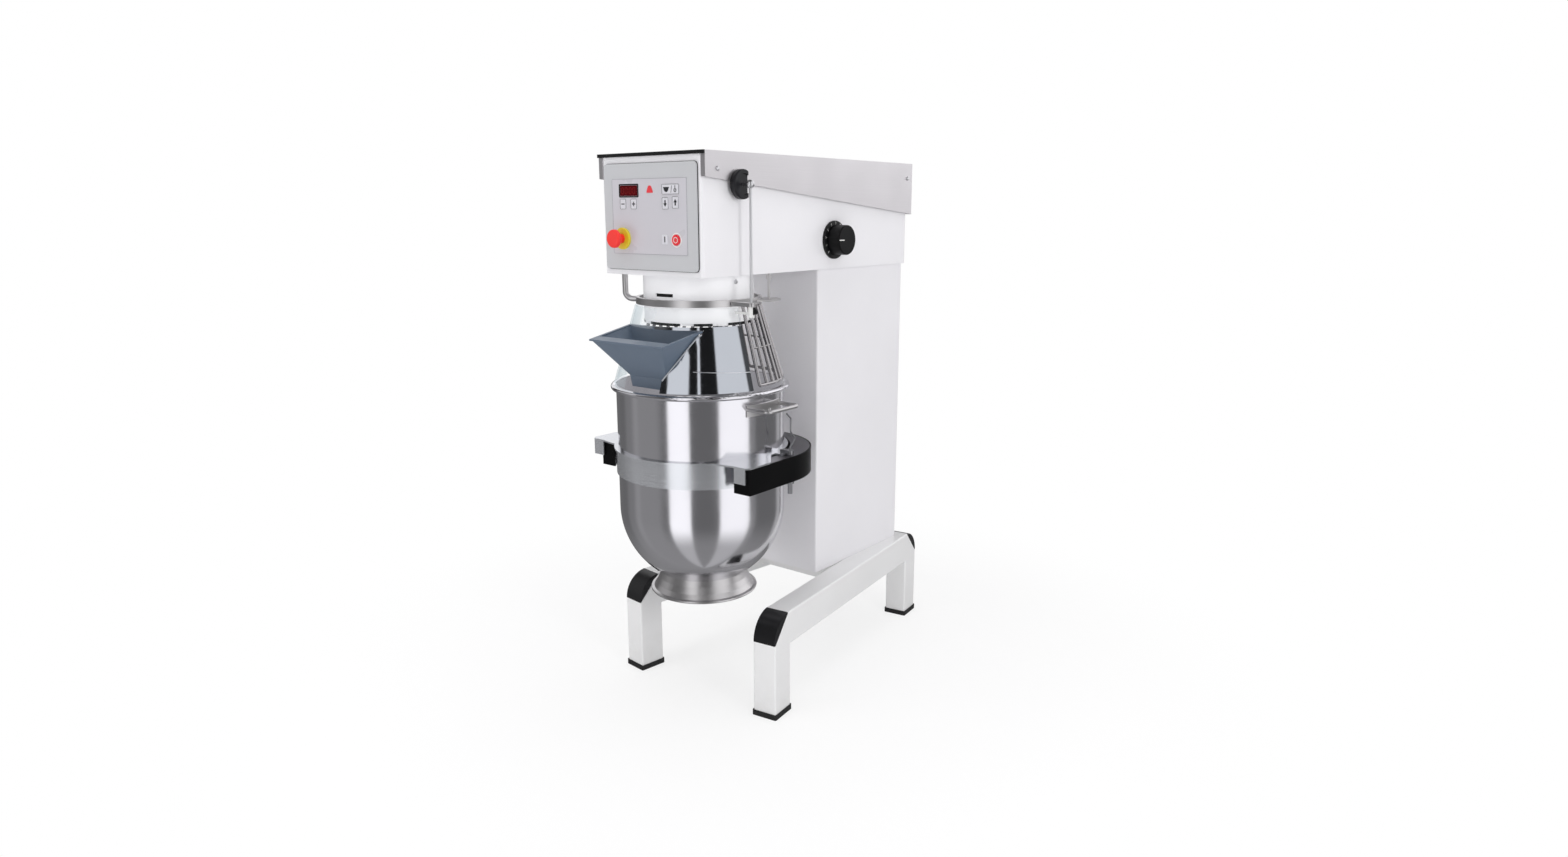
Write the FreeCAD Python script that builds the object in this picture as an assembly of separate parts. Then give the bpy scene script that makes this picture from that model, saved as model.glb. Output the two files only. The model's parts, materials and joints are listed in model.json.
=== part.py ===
"""A commercial floor-standing planetary mixer with a 60-litre bowl.

Millimetres, Z up. The machine faces -Y and its right side is +X. Shapes are drawn about the bowl axis,
then moved forwards so that the origin is on the floor under the middle of the whole machine. An azimuth
is counted in degrees from the front (-Y) towards the right side (+X).
"""

import FreeCAD, Part
import math
import os

os.makedirs("parts", exist_ok=True)

V = FreeCAD.Vector
UP = V(0, 0, 1)
MIDDLE_Y = 282.0

# Base: two leg frames that close towards the back, and the cross members that tie them.
LEG_FRONT_X = 234.5
LEG_FRONT_Y = -37.5
SPLAY = 6.85
TUBE_W = 66.0
TUBE_ROUND = 5.0
LEG_D = 74.0
BEAM_LENGTH = 856.0
BEAM_TOP = 270.0
BEAM_BOTTOM = 181.0
CORNER_Z = 200.0
CORNER_Y = 63.0
CORNER_R = 70.0
TUBE_WALL = 3.0
FOOT_H = 14.0
FOOT_FLOOR = 4.0
FOOT_RIM = 2.5

# Column and head casing.
COLUMN_HALF = 148.0
COLUMN_FRONT = 300.0
COLUMN_REAR = 718.0
CABLE_X = -85.0
CABLE_Z = 300.0
SHEET = 3.0
HEAD_HALF = 161.5
HEAD_FRONT = -159.0
HEAD_REAR = 714.0
HEAD_BOTTOM = 1111.0
HEAD_TOP = 1390.0
LID_HALF = 172.0
LID_REAR = 724.0
LID_SHEET = 2.0
LID_SIDE_FRONT_Z = 1335.0
LID_SIDE_REAR_Z = 1251.0

# Control panel, whose keys stand in holes with a small gap all round.
PANEL_HALF = 150.0
PANEL_Z = (1124.0, 1368.0)
PANEL_FACE = HEAD_FRONT - 6.0
MEMBRANE_HALF = 122.0
MEMBRANE_Z = (1160.0, 1334.0)
MEMBRANE_T = 0.8
KEY_GAP = 0.1
ESTOP = (-88.0, 1196.0)
STOP = (87.0, 1195.0)
# name: (centre x, centre z, width, height)
KEYS = {
    "timer_minus_key": (-84.0, 1276.0, 20.0, 24.0),
    "timer_plus_key": (-48.0, 1276.0, 20.0, 24.0),
    "bowl_down_key": (55.0, 1277.0, 20.0, 27.0),
    "bowl_up_key": (87.0, 1279.0, 20.0, 27.0),
    "mode_key": (72.0, 1308.5, 54.0, 23.0),
    "start_key": (51.0, 1196.0, 18.0, 22.0),
}
DISPLAY = (-65.0, 1306.5, 58.0, 24.0)

# Speed control on the right side of the head.
DIAL_Y = 349.0
DIAL_Z = 1186.0
DIAL_R = 49.5
KNOB_R = 38.5

# Bowl: a straight wall over a half sphere, on a flared foot ring.
BOWL_R = 212.0
BOWL_WALL = 2.0
BOWL_CENTRE_Z = 522.0
RIM_R = 225.0
RIM_Z = 838.0
RIM_BEAD = 6.0
FOOT_RING_Z = 292.0
FOOT_RING_R = 138.0
BAND_Z = (612.0, 678.0)
BAND_R = 217.0
FLANGE_R = 222.0
LUG_T = 4.0

# Bowl lift: a C-shaped yoke on a carriage that slides on two guide rods.
YOKE_HALF = 264.0
YOKE_FRONT = -124.0
YOKE_BORE = 228.0
YOKE_GAP = 219.0
YOKE_STEP = (230.0, -88.0)
YOKE_Z = (614.0, 674.0)
YOKE_CORNER = (68.0, 45.0)
COVER_T = 4.0
COVER_LIP = 3.0
CLAMP_X = 250.0
CLAMP_Y = 48.0
CLAMP_R = 6.0
NECK_HALF = 26.0
SLOT_HALF = 30.0
LIFT_TRAVEL = 150.0
GUIDE_X = 75.0
GUIDE_Y = 400.0
GUIDE_R = 14.0
ACTUATOR_Y = 520.0
ACTUATOR_ROD_R = 15.0
FIT = 0.05

# Planetary drive.
GEAR_MODULE = 3.5
RING_TEETH = 60
PINION_TEETH = 20
OFFSET = GEAR_MODULE * (RING_TEETH - PINION_TEETH) / 2
GEAR_Z = (1050.0, 1080.0)
HUB_R = 137.0
PLANET_Z = (992.0, 1036.0)
MAIN_SHAFT_R = 25.0
AGITATOR_R = 19.0
MOTOR_Y = 480.0
MAIN_PULLEY_R = 108.0
MOTOR_PULLEY_R = 36.0
PULLEY_Z = (1318.0, 1350.0)

# Bowl guard: a cone that widens from the ring under the head to the bowl rim.
GUARD_BOTTOM = 843.0
GUARD_TOP = 1034.0
GUARD_BOTTOM_R = 218.0
GUARD_SLOPE = 0.3005
GUARD_LEFT = -76.0
GUARD_RIGHT = 78.0
PLATE_TOP = 994.0
PLATE_T = 2.0
CLEAR_T = 4.0
RING_Z = (1038.0, 1054.0)
RING_R = (147.0, 156.0)
HINGE_X = 204.0
HINGE_Y = -42.0
ROD_R = 3.5
BALL_R = 10.0
BALL_Z = 1320.0
WIRE_R = 4.5
WIRE_FROM = 86.0
WIRE_TO = 274.0
WIRE_COUNT = 26

# Feed funnel in the front notch of the guard: (half width, front y, rear y, z front, z rear)
FUNNEL_RIM = (118.0, -250.0, -126.0, 957.0, 982.0)
FUNNEL_THROAT = (60.0, -185.0, -152.0, 872.0, 872.0)
FUNNEL_OUTLET = (56.0, -182.0, -155.0, 845.0, 845.0)
FUNNEL_WALL = 3.0
NOTCH_GAP = 1.5


# ---------------------------------------------------------------- helpers

def box(x0, x1, y0, y1, z0, z1):
    return Part.makeBox(x1 - x0, y1 - y0, z1 - z0, V(x0, y0, z0))


def cylinder(r, z0, z1, x=0.0, y=0.0):
    return Part.makeCylinder(r, z1 - z0, V(x, y, z0))


def cylinder_x(r, x0, x1, y, z):
    return Part.makeCylinder(r, x1 - x0, V(x0, y, z), V(1, 0, 0))


def cylinder_y(r, y0, y1, x, z):
    return Part.makeCylinder(r, y1 - y0, V(x, y0, z), V(0, 1, 0))


def prism(points, z0, z1):
    wire = Part.makePolygon([V(x, y, z0) for x, y in points] + [V(*points[0], z0)])
    return Part.Face(wire).extrude(V(0, 0, z1 - z0))


def prism_y(points, y0, y1):
    wire = Part.makePolygon([V(x, y0, z) for x, z in points] + [V(points[0][0], y0, points[0][1])])
    return Part.Face(wire).extrude(V(0, y1 - y0, 0))


def prism_x(points, x0, x1):
    wire = Part.makePolygon([V(x0, y, z) for y, z in points] + [V(x0, *points[0])])
    return Part.Face(wire).extrude(V(x1 - x0, 0, 0))


def rounded_box(x0, x1, y0, y1, z0, z1, r):
    """A box whose upright edges are rounded."""
    body = box(x0, x1, y0, y1, z0, z1)
    upright = [e for e in body.Edges if abs(e.Vertexes[0].Z - e.Vertexes[-1].Z) > 1e-6]
    return body.makeFillet(r, upright)


def rounded_plate(x0, x1, z0, z1, y0, y1, r):
    """A plate that faces -Y, with rounded corners."""
    body = box(x0, x1, y0, y1, z0, z1)
    along = [e for e in body.Edges if abs(e.Vertexes[0].Y - e.Vertexes[-1].Y) > 1e-6]
    return body.makeFillet(r, along)


def circles(shape):
    return [e for e in shape.Edges if e.Curve.TypeId == "Part::GeomCircle"]


def round_front(shape, r):
    """Rounds the circular edge that is furthest to the front."""
    return shape.makeFillet(r, [min(circles(shape), key=lambda e: e.Curve.Center.y)])


def round_right(shape, r):
    """Rounds the circular edge that is furthest to the right."""
    return shape.makeFillet(r, [max(circles(shape), key=lambda e: e.Curve.Center.x)])


def at(azimuth, r, z):
    a = math.radians(azimuth)
    return V(r * math.sin(a), -r * math.cos(a), z)


def turned(points, start=0.0, end=360.0):
    """A profile of (radius, z) points turned about the bowl axis from one azimuth to another."""
    wire = Part.makePolygon([V(r, 0, z) for r, z in points] + [V(points[0][0], 0, points[0][1])])
    return turned_face(Part.Face(wire), start, end)


def turned_face(face, start=0.0, end=360.0):
    face.rotate(V(), UP, start - 90.0)
    return face.revolve(V(), UP, end - start)


def hoop(r, z, wire_r, start=0.0, end=360.0):
    circle = Part.Wire(Part.makeCircle(wire_r, V(r, 0, z), V(0, 1, 0)))
    return turned_face(Part.Face(circle), start, end)


def bent_rod(points, r, bend):
    """A round rod along a path whose corners are bent to a radius."""
    points = [V(*p) for p in points]
    edges = []
    start = points[0]
    for before, corner, after in zip(points, points[1:], points[2:]):
        u = (before - corner).normalize()
        w = (after - corner).normalize()
        half = math.acos(max(-1.0, min(1.0, u.dot(w)))) / 2
        reach = bend / math.tan(half)
        first = corner + u * reach
        last = corner + w * reach
        bisector = (u + w).normalize()
        middle = corner + bisector * (bend / math.sin(half) - bend)
        edges.append(Part.makeLine(start, first))
        edges.append(Part.Arc(first, middle, last).toShape())
        start = last
    edges.append(Part.makeLine(start, points[-1]))
    path = Part.Wire(edges)
    direction = points[1] - points[0]
    section = Part.Wire(Part.makeCircle(r, points[0], direction))
    return path.makePipeShell([section], True, True)


def fuse(shapes):
    shapes = list(shapes)
    return shapes[0].multiFuse(shapes[1:]).removeSplitter()


def group(shapes):
    return Part.makeCompound(list(shapes))


def mirrored(shape):
    """The same shape on the other side of the machine."""
    return shape.mirror(V(), V(1, 0, 0))


def both_sides(shape):
    return [shape, mirrored(shape)]


def guard_r(z):
    return GUARD_BOTTOM_R - (z - GUARD_BOTTOM) * GUARD_SLOPE


# ---------------------------------------------------------------- base

def place_leg(shape):
    """From a frame where +Y runs back along the beam to the right leg's place."""
    shape.rotate(V(), UP, SPLAY)
    shape.translate(V(LEG_FRONT_X, LEG_FRONT_Y, 0))
    return shape


def leg_outline():
    rear = BEAM_LENGTH
    return [
        (0, FOOT_FLOOR), (0, CORNER_Z), (CORNER_Y, BEAM_TOP),
        (rear - CORNER_Y, BEAM_TOP), (rear, CORNER_Z), (rear, FOOT_FLOOR),
        (rear - LEG_D, FOOT_FLOOR), (rear - LEG_D, BEAM_BOTTOM),
        (LEG_D, BEAM_BOTTOM), (LEG_D, FOOT_FLOOR),
    ]


def leg_tube():
    """One inverted-U tube frame with cut corners."""
    half = TUBE_W / 2
    outline = leg_outline()
    block = prism_x(outline, -half, half)
    solid = block.makeFillet(TUBE_ROUND, [e for e in block.Edges if e.BoundBox.XLength < 1e-6])
    loop = Part.makePolygon([V(0, y, z) for y, z in outline + outline[:1]])
    inner = loop.makeOffset2D(-TUBE_WALL)
    room = half - TUBE_WALL
    core = Part.Face(inner).extrude(V(2 * room, 0, 0))
    core.translate(V(-room, 0, 0))
    return solid.cut(core)


def beam_inner_x(y):
    slope = math.radians(SPLAY)
    centre = LEG_FRONT_X - math.tan(slope) * (y - LEG_FRONT_Y)
    return centre - TUBE_W / 2 / math.cos(slope)


def cross_member(y0, y1):
    a, b = beam_inner_x(y0), beam_inner_x(y1)
    bar = prism([(-a, y0), (a, y0), (b, y1), (-b, y1)], BEAM_TOP - 60, BEAM_TOP)
    core = box(-a, a, y0 + TUBE_WALL, y1 - TUBE_WALL, BEAM_TOP - 57, BEAM_TOP - TUBE_WALL)
    return bar.cut(core)


def base_plate():
    x = COLUMN_HALF - SHEET
    return rounded_box(-x, x, COLUMN_FRONT + SHEET, COLUMN_REAR - SHEET, BEAM_TOP, BEAM_TOP + 6, 4)


def base_frame():
    """The welded base: both leg frames, two cross members and the plate under the column."""
    legs = both_sides(place_leg(leg_tube()))
    return fuse(legs + [cross_member(400, 460), cross_member(640, 700), base_plate()])


def corner_cap():
    """A rounded plastic cap that fills one cut corner."""
    foot, top = V(0, 0, CORNER_Z), V(0, CORNER_Y, BEAM_TOP)
    chord = top - foot
    rise = CORNER_R - math.sqrt(CORNER_R ** 2 - (chord.Length / 2) ** 2)
    outward = V(0, -chord.z, chord.y).normalize()
    middle = (foot + top) * 0.5 + outward * rise
    outer = Part.Arc(foot, middle, top).toShape()
    face = Part.Face(Part.Wire([outer, Part.makeLine(top, foot)]))
    cap = face.extrude(V(TUBE_W, 0, 0))
    cap.translate(V(-TUBE_W / 2, 0, 0))
    return cap.makeFillet(3.0, circles(cap))


def corner_caps():
    front = corner_cap()
    rear = front.mirror(V(0, BEAM_LENGTH / 2, 0), V(0, 1, 0))
    right = [place_leg(front), place_leg(rear)]
    return group(s for cap in right for s in both_sides(cap))


def foot_cap(s):
    """A rubber cup under a leg that starts s along the beam."""
    half = TUBE_W / 2
    cup = rounded_box(-half - FOOT_RIM, half + FOOT_RIM, s - FOOT_RIM, s + LEG_D + FOOT_RIM, 0, FOOT_H, 4)
    return cup.cut(box(-half, half, s, s + LEG_D, FOOT_FLOOR, FOOT_H + 1))


def foot_caps():
    right = [place_leg(foot_cap(0)), place_leg(foot_cap(BEAM_LENGTH - LEG_D))]
    return group(s for cup in right for s in both_sides(cup))


# ---------------------------------------------------------------- column and lift

def column_shell():
    outer = rounded_box(-COLUMN_HALF, COLUMN_HALF, COLUMN_FRONT, COLUMN_REAR, BEAM_TOP, HEAD_BOTTOM, 6)
    x = COLUMN_HALF - SHEET
    inner = rounded_box(-x, x, COLUMN_FRONT + SHEET, COLUMN_REAR - SHEET, BEAM_TOP - 1, HEAD_BOTTOM + 1, 3)
    z0, z1 = YOKE_Z[0] - LIFT_TRAVEL - 12, YOKE_Z[1] + 12
    slot = box(-SLOT_HALF, SLOT_HALF, COLUMN_FRONT - 1, COLUMN_FRONT + SHEET + 1, z0, z1)
    window = box(-120, 120, COLUMN_REAR - SHEET - 1, COLUMN_REAR + 1, 330, 1050)
    gland = cylinder_y(10, COLUMN_REAR - SHEET - 1, COLUMN_REAR + 1, CABLE_X, CABLE_Z)
    return outer.cut(inner).cut(slot).cut(window).cut(gland)


def back_panel():
    """A cover with rows of air slots."""
    panel = rounded_plate(-134, 134, 318, 1062, COLUMN_REAR, COLUMN_REAR + 2, 6)
    slots = []
    for row in range(8):
        z = 860 + 20 * row
        for x in (-60, 0, 60):
            slots.append(box(x - 22, x + 22, COLUMN_REAR - 1, COLUMN_REAR + 3, z, z + 5))
    return panel.cut(group(slots))


def guide_rods():
    rod = cylinder(GUIDE_R, BEAM_TOP + 6, HEAD_BOTTOM, GUIDE_X, GUIDE_Y)
    return group(both_sides(rod))


def actuator_body():
    """The electric lift cylinder: foot, gear case, motor and bored tube."""
    foot = rounded_box(-42, 42, ACTUATOR_Y - 42, 640, BEAM_TOP + 6, 310, 8)
    tube = cylinder(32, 300, 655, 0, ACTUATOR_Y)
    motor = cylinder(34, 300, 420, 0, 600)
    bore = cylinder(ACTUATOR_ROD_R + FIT, 340, 660, 0, ACTUATOR_Y)
    return fuse([foot, tube, motor]).cut(bore)


def actuator_rod():
    return cylinder(ACTUATOR_ROD_R, 545, 825, 0, ACTUATOR_Y)


def lift_carriage():
    """Back plate, four bushes on the guide rods, actuator bracket and the neck to the yoke."""
    plate = box(-100, 100, 352, 378, 600, 845)
    neck = box(-NECK_HALF, NECK_HALF, 245, 352, YOKE_Z[0] + 4, YOKE_Z[1] - 4)
    bracket = box(-30, 30, 378, ACTUATOR_Y + 25, 825, 845)
    bushes = [cylinder(26, z, z + 60, GUIDE_X, GUIDE_Y) for z in (600, 785)]
    bores = cylinder(GUIDE_R + FIT, 599, 846, GUIDE_X, GUIDE_Y)
    body = fuse([plate, neck, bracket] + bushes + [mirrored(b) for b in bushes])
    return body.cut(bores).cut(mirrored(bores))


def yoke_blank(grow, z0, z1):
    """The outer shape of the yoke: round at the back, with the left arm stepped in at its front end."""
    x, y = YOKE_HALF + grow, YOKE_FRONT - grow
    step_x, step_y = -YOKE_STEP[0] - grow, YOKE_STEP[1] - grow
    cx, cy = YOKE_CORNER
    r = x - cx
    bend = math.sqrt(0.5) * r
    rear_arc = Part.Arc(V(x, cy, z0), V(cx + bend, cy + bend, z0), V(cx, cy + r, z0)).toShape()
    left_arc = Part.Arc(V(-cx, cy + r, z0), V(-cx - bend, cy + bend, z0), V(-x, cy, z0)).toShape()
    loop = Part.Wire([
        Part.makeLine(V(step_x, y, z0), V(x, y, z0)), Part.makeLine(V(x, y, z0), V(x, cy, z0)),
        rear_arc, Part.makeLine(V(cx, cy + r, z0), V(-cx, cy + r, z0)),
        left_arc, Part.makeLine(V(-x, cy, z0), V(-x, step_y, z0)),
        Part.makeLine(V(-x, step_y, z0), V(step_x, step_y, z0)),
        Part.makeLine(V(step_x, step_y, z0), V(step_x, y, z0)),
    ])
    return Part.Face(loop).extrude(V(0, 0, z1 - z0))


def clamp_bores(r):
    bore = cylinder(r, YOKE_Z[0] - 10, YOKE_Z[1] + 10, CLAMP_X, CLAMP_Y)
    return group(both_sides(bore))


def bowl_room():
    """The round opening of the yoke, which runs straight along the front of the right arm."""
    z0, z1 = YOKE_Z[0] - 10, YOKE_Z[1] + 10
    return cylinder(YOKE_BORE, z0, z1).fuse(box(0, YOKE_GAP, YOKE_FRONT - 20, -50, z0, z1))


def bowl_yoke():
    pad = box(-60, 60, 200, 245, *YOKE_Z)
    yoke = yoke_blank(0, *YOKE_Z).fuse(pad).cut(bowl_room())
    return yoke.cut(clamp_bores(CLAMP_R + FIT)).removeSplitter()


def yoke_covers():
    """Two plastic covers that wrap the front and outside of the arms and turn in under them."""
    z0, z1 = YOKE_Z
    skin = yoke_blank(COVER_T, z0 - COVER_LIP, z1).cut(yoke_blank(0, z0, z1 + 1))
    skin = skin.cut(yoke_blank(-8, z0 - COVER_LIP - 1, z0 + 1))
    skin = skin.cut(bowl_room()).cut(clamp_bores(CLAMP_R + 5))
    return skin.cut(box(-66, 66, 200, 260, z0 - COVER_LIP - 1, z1 + 1))


def bowl_clamp():
    """A spindle through the arm with a finger over the bowl lug and a bent-wire handle."""
    x, y = CLAMP_X, CLAMP_Y
    lug_top = BAND_Z[1]
    spindle = cylinder(CLAMP_R, 576, lug_top + 8, x, y)
    collar = cylinder(CLAMP_R + 4, YOKE_Z[0] - 12, YOKE_Z[0] - 0.2, x, y)
    boss = cylinder(CLAMP_R + 2.5, YOKE_Z[1] + 0.2, lug_top + 8, x, y)
    finger = box(x - 26, x, y - 7, y + 7, lug_top + 0.2, lug_top + 8)
    top = lug_top + 8
    turns = [(0, -2), (0, 8), (20, 26), (2, 46), (2, 80), (-14, 94)]
    handle = bent_rod([(x, y + dy, top + dz) for dy, dz in turns], 2.0, 5.0)
    return fuse([spindle, collar, boss, finger, handle])


# ---------------------------------------------------------------- bowl

def bowl():
    """Straight wall, half-sphere bottom and a rolled rim."""
    outer = cylinder(BOWL_R, BOWL_CENTRE_Z, RIM_Z - 2).fuse(sphere_bottom(BOWL_R))
    inner_r = BOWL_R - BOWL_WALL
    inner = cylinder(inner_r, BOWL_CENTRE_Z, RIM_Z + 5).fuse(sphere_bottom(inner_r))
    edge_z, bead_r = RIM_Z - 3, RIM_R - RIM_BEAD
    lip = turned([(inner_r, edge_z), (bead_r, edge_z), (bead_r, RIM_Z), (inner_r + 2, RIM_Z)])
    bead = hoop(bead_r, RIM_Z - RIM_BEAD, RIM_BEAD)
    return fuse([outer.cut(inner), lip, bead])


def sphere_bottom(r):
    return Part.makeSphere(r, V(0, 0, BOWL_CENTRE_Z), UP, -90, 0, 360)


def bowl_foot_ring():
    """A flared stand welded under the bowl."""
    outer = [(109, 352), (112, 340), (116, 326), (123, 310), (131, 299), (FOOT_RING_R, FOOT_RING_Z + 5)]
    lower = [(FOOT_RING_R + 1, FOOT_RING_Z + 2), (FOOT_RING_R, FOOT_RING_Z), (FOOT_RING_R - 5, FOOT_RING_Z)]
    inner = [(r - 2.5, z) for r, z in reversed(outer[:-1])]
    ring = turned(outer + lower + inner)
    return ring.cut(Part.makeSphere(BOWL_R, V(0, 0, BOWL_CENTRE_Z)))


def front_lug():
    """The lug that lies on the front of an arm and turns down over its end."""
    x = YOKE_HALF + COVER_T
    front = YOKE_FRONT - COVER_T - 6
    top = BAND_Z[1]
    corners = [(150, -150), (YOKE_GAP + 5, front), (x - 10, front), (x, front + 10), (x, -50), (205, 30)]
    plate = prism(corners, top - LUG_T, top)
    tab = box(YOKE_GAP + 5, x - 10, front, front + LUG_T, 637, top)
    return fuse([plate, tab])


def bowl_band():
    """The belt round the bowl, with a turned-out top edge and four lugs."""
    z0, z1 = BAND_Z
    step = z1 - LUG_T
    belt = turned([
        (BOWL_R, z0), (BAND_R, z0), (BAND_R, step), (FLANGE_R, step), (FLANGE_R, z1), (BOWL_R, z1),
    ])
    rear_lug = box(195, CLAMP_X - 9.5, CLAMP_Y - 20, CLAMP_Y + 24, step, z1)
    lugs = both_sides(front_lug()) + both_sides(rear_lug)
    return fuse([belt] + lugs).cut(cylinder(BOWL_R, z0 - 1, z1 + 1))


def bowl_handle():
    """A bent-rod carrying handle on its riveted bracket."""
    z = 798
    low, high, r = z - 18, z + 10, BOWL_R + 2.5
    bracket = turned([(BOWL_R, low), (r, low), (r, high), (BOWL_R, high)], 73, 107)
    rod = bent_rod([(200, -58, z), (268, -58, z), (268, 58, z), (200, 58, z)], 5, 14)
    rivets = []
    for azimuth in (86.5, 93.5):
        centre = at(azimuth, BOWL_R + 1.5, z - 9)
        rivets.append(Part.makeSphere(4.5, centre))
    return fuse([bracket, rod] + rivets).cut(cylinder(BOWL_R, z - 40, z + 40))


def bowl_handles():
    return group(both_sides(bowl_handle()))


# ---------------------------------------------------------------- head

def head_housing():
    outer = rounded_box(-HEAD_HALF, HEAD_HALF, HEAD_FRONT, HEAD_REAR, HEAD_BOTTOM, HEAD_TOP, 8)
    x = HEAD_HALF - SHEET
    inner = rounded_box(-x, x, HEAD_FRONT + SHEET, HEAD_REAR - SHEET, HEAD_BOTTOM + SHEET, HEAD_TOP + 1, 5)
    drive = cylinder(60, HEAD_BOTTOM - 1, HEAD_BOTTOM + SHEET + 1)
    cables = box(-100, 100, 600, 690, HEAD_BOTTOM - 1, HEAD_BOTTOM + SHEET + 1)
    keys = box(-110, 110, HEAD_FRONT - 1, HEAD_FRONT + SHEET + 1, 1150, 1340)
    knob = cylinder_x(8, HEAD_HALF - SHEET - 1, HEAD_HALF + 1, DIAL_Y, DIAL_Z)
    return outer.cut(inner).cut(drive).cut(cables).cut(keys).cut(knob)


def lid_screw_places():
    return [(-118.0, 1353.0), (698.0, 1351.0)]


def head_lid():
    """A folded cover: flat top, tapering side flanges with a narrow front return, and a rear flange."""
    top = box(-LID_HALF, LID_HALF, HEAD_FRONT, LID_REAR, HEAD_TOP, HEAD_TOP + LID_SHEET)
    side_points = [
        (HEAD_FRONT, HEAD_TOP + LID_SHEET), (LID_REAR, HEAD_TOP + LID_SHEET),
        (LID_REAR, LID_SIDE_REAR_Z), (HEAD_FRONT, LID_SIDE_FRONT_Z),
    ]
    side = prism_x(side_points, LID_HALF - LID_SHEET, LID_HALF)
    rear = box(-LID_HALF, LID_HALF, LID_REAR - LID_SHEET, LID_REAR, LID_SIDE_REAR_Z, HEAD_TOP)
    fold = box(HEAD_HALF - 2.3, LID_HALF, HEAD_FRONT, HEAD_FRONT + LID_SHEET, LID_SIDE_FRONT_Z, HEAD_TOP)
    lid = fuse([top, rear] + both_sides(side) + both_sides(fold))
    holes = [cylinder_x(3.2, -LID_HALF - 1, LID_HALF + 1, y, z) for y, z in lid_screw_places()]
    boss = cylinder_x(21, HEAD_HALF, LID_HALF + 1, HINGE_Y, BALL_Z)
    return lid.cut(group(holes)).cut(boss)


def lid_front_trim():
    z1 = HEAD_TOP + LID_SHEET
    return box(-LID_HALF, LID_HALF, HEAD_FRONT - 5, HEAD_FRONT, z1 - 8, z1)


def screw(place, direction, length):
    """A button-head screw: a low domed head with a shank behind it."""
    head = Part.makeCylinder(5.5, 3.5, place, direction)
    outer = max(circles(head), key=lambda e: (e.Curve.Center - place).Length)
    head = head.makeFillet(2.8, [outer])
    return head.fuse(Part.makeCylinder(3, length, place, direction * -1)) if length else head


def case_screws():
    """Button-head screws of the lid, the hub casting and the back panel."""
    screws = []
    for y, z in lid_screw_places():
        screws += both_sides(screw(V(LID_HALF, y, z), V(1, 0, 0), LID_HALF - HEAD_HALF))
    for azimuth in (82.6, 172.6, 262.6):
        screws.append(screw(at(azimuth, HUB_R, 1095), at(azimuth, 1, 0), 0))
    for x in (-126, 126):
        for z in (330, 570, 810, 1050):
            screws.append(screw(V(x, COLUMN_REAR + 2, z), V(0, 1, 0), 0))
    return group(screws)


# ---------------------------------------------------------------- control panel

def key_openings(grow, y0, y1):
    """The holes that the keys, stop button and emergency stop pass through."""
    cuts = []
    for x, z, width, height in KEYS.values():
        a, b = width / 2 + grow, height / 2 + grow
        cuts.append(rounded_plate(x - a, x + a, z - b, z + b, y0, y1, 3 + grow))
    cuts.append(cylinder_y(12.5 + grow, y0, y1, *STOP))
    cuts.append(cylinder_y(11 + grow, y0, y1, *ESTOP))
    return cuts


def display_block(y0, y1):
    x, z, width, height = DISPLAY
    return rounded_plate(x - width / 2, x + width / 2, z - height / 2, z + height / 2, y0, y1, 2)


def control_panel():
    plate = rounded_plate(-PANEL_HALF, PANEL_HALF, *PANEL_Z, PANEL_FACE, HEAD_FRONT, 9)
    cuts = key_openings(KEY_GAP, PANEL_FACE - 1, HEAD_FRONT + 1)
    cuts.append(display_block(PANEL_FACE - 1, HEAD_FRONT + 1))
    return plate.cut(group(cuts))


def keypad_membrane():
    y0, y1 = PANEL_FACE - MEMBRANE_T, PANEL_FACE
    sheet = rounded_plate(-MEMBRANE_HALF, MEMBRANE_HALF, *MEMBRANE_Z, y0, y1, 3)
    cuts = key_openings(KEY_GAP, y0 - 1, y1 + 1) + [display_block(y0 - 1, y1 + 1)]
    return sheet.cut(group(cuts))


def display_window():
    return display_block(PANEL_FACE - MEMBRANE_T - 0.4, HEAD_FRONT)


def control_board():
    board = box(-105, 105, -152, -150, 1153, 1337)
    posts = [cylinder_y(3, HEAD_FRONT, -152, x, z) for x in (-102, 102) for z in (1156, 1333)]
    stem_room = cylinder_y(13, -153, -149, *ESTOP)
    return fuse([board] + posts).cut(stem_room)


def key(name):
    """A key cap with a wider flange behind the panel."""
    x, z, width, height = KEYS[name]
    a, b = width / 2, height / 2
    cap = rounded_plate(x - a, x + a, z - b, z + b, PANEL_FACE - MEMBRANE_T - 1.4, HEAD_FRONT + 1, 3)
    flange = rounded_plate(x - a - 1, x + a + 1, z - b - 1, z + b + 1, HEAD_FRONT + 0.1, HEAD_FRONT + 2, 3)
    return cap.fuse(flange)


def stop_button():
    cap = round_front(cylinder_y(12.5, PANEL_FACE - MEMBRANE_T - 3.2, HEAD_FRONT + 1, *STOP), 1.2)
    return cap.fuse(cylinder_y(14, HEAD_FRONT + 0.1, HEAD_FRONT + 2, *STOP))


def estop_collar():
    face = PANEL_FACE - MEMBRANE_T
    collar = round_front(cylinder_y(25.5, face - 6, face, *ESTOP), 2.0)
    return collar.cut(cylinder_y(11 + KEY_GAP, face - 7, face + 1, *ESTOP))


def estop_button():
    """A mushroom head on a tapered neck and a stem that runs back through the panel."""
    x, z = ESTOP
    back = PANEL_FACE - 27
    head = round_front(cylinder_y(21.5, back - 10, back, x, z), 5.0)
    neck = Part.makeCone(19, 13, 9, V(x, back, z), V(0, 1, 0))
    return fuse([head, neck, cylinder_y(11, back + 5, -140, x, z)])


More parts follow.
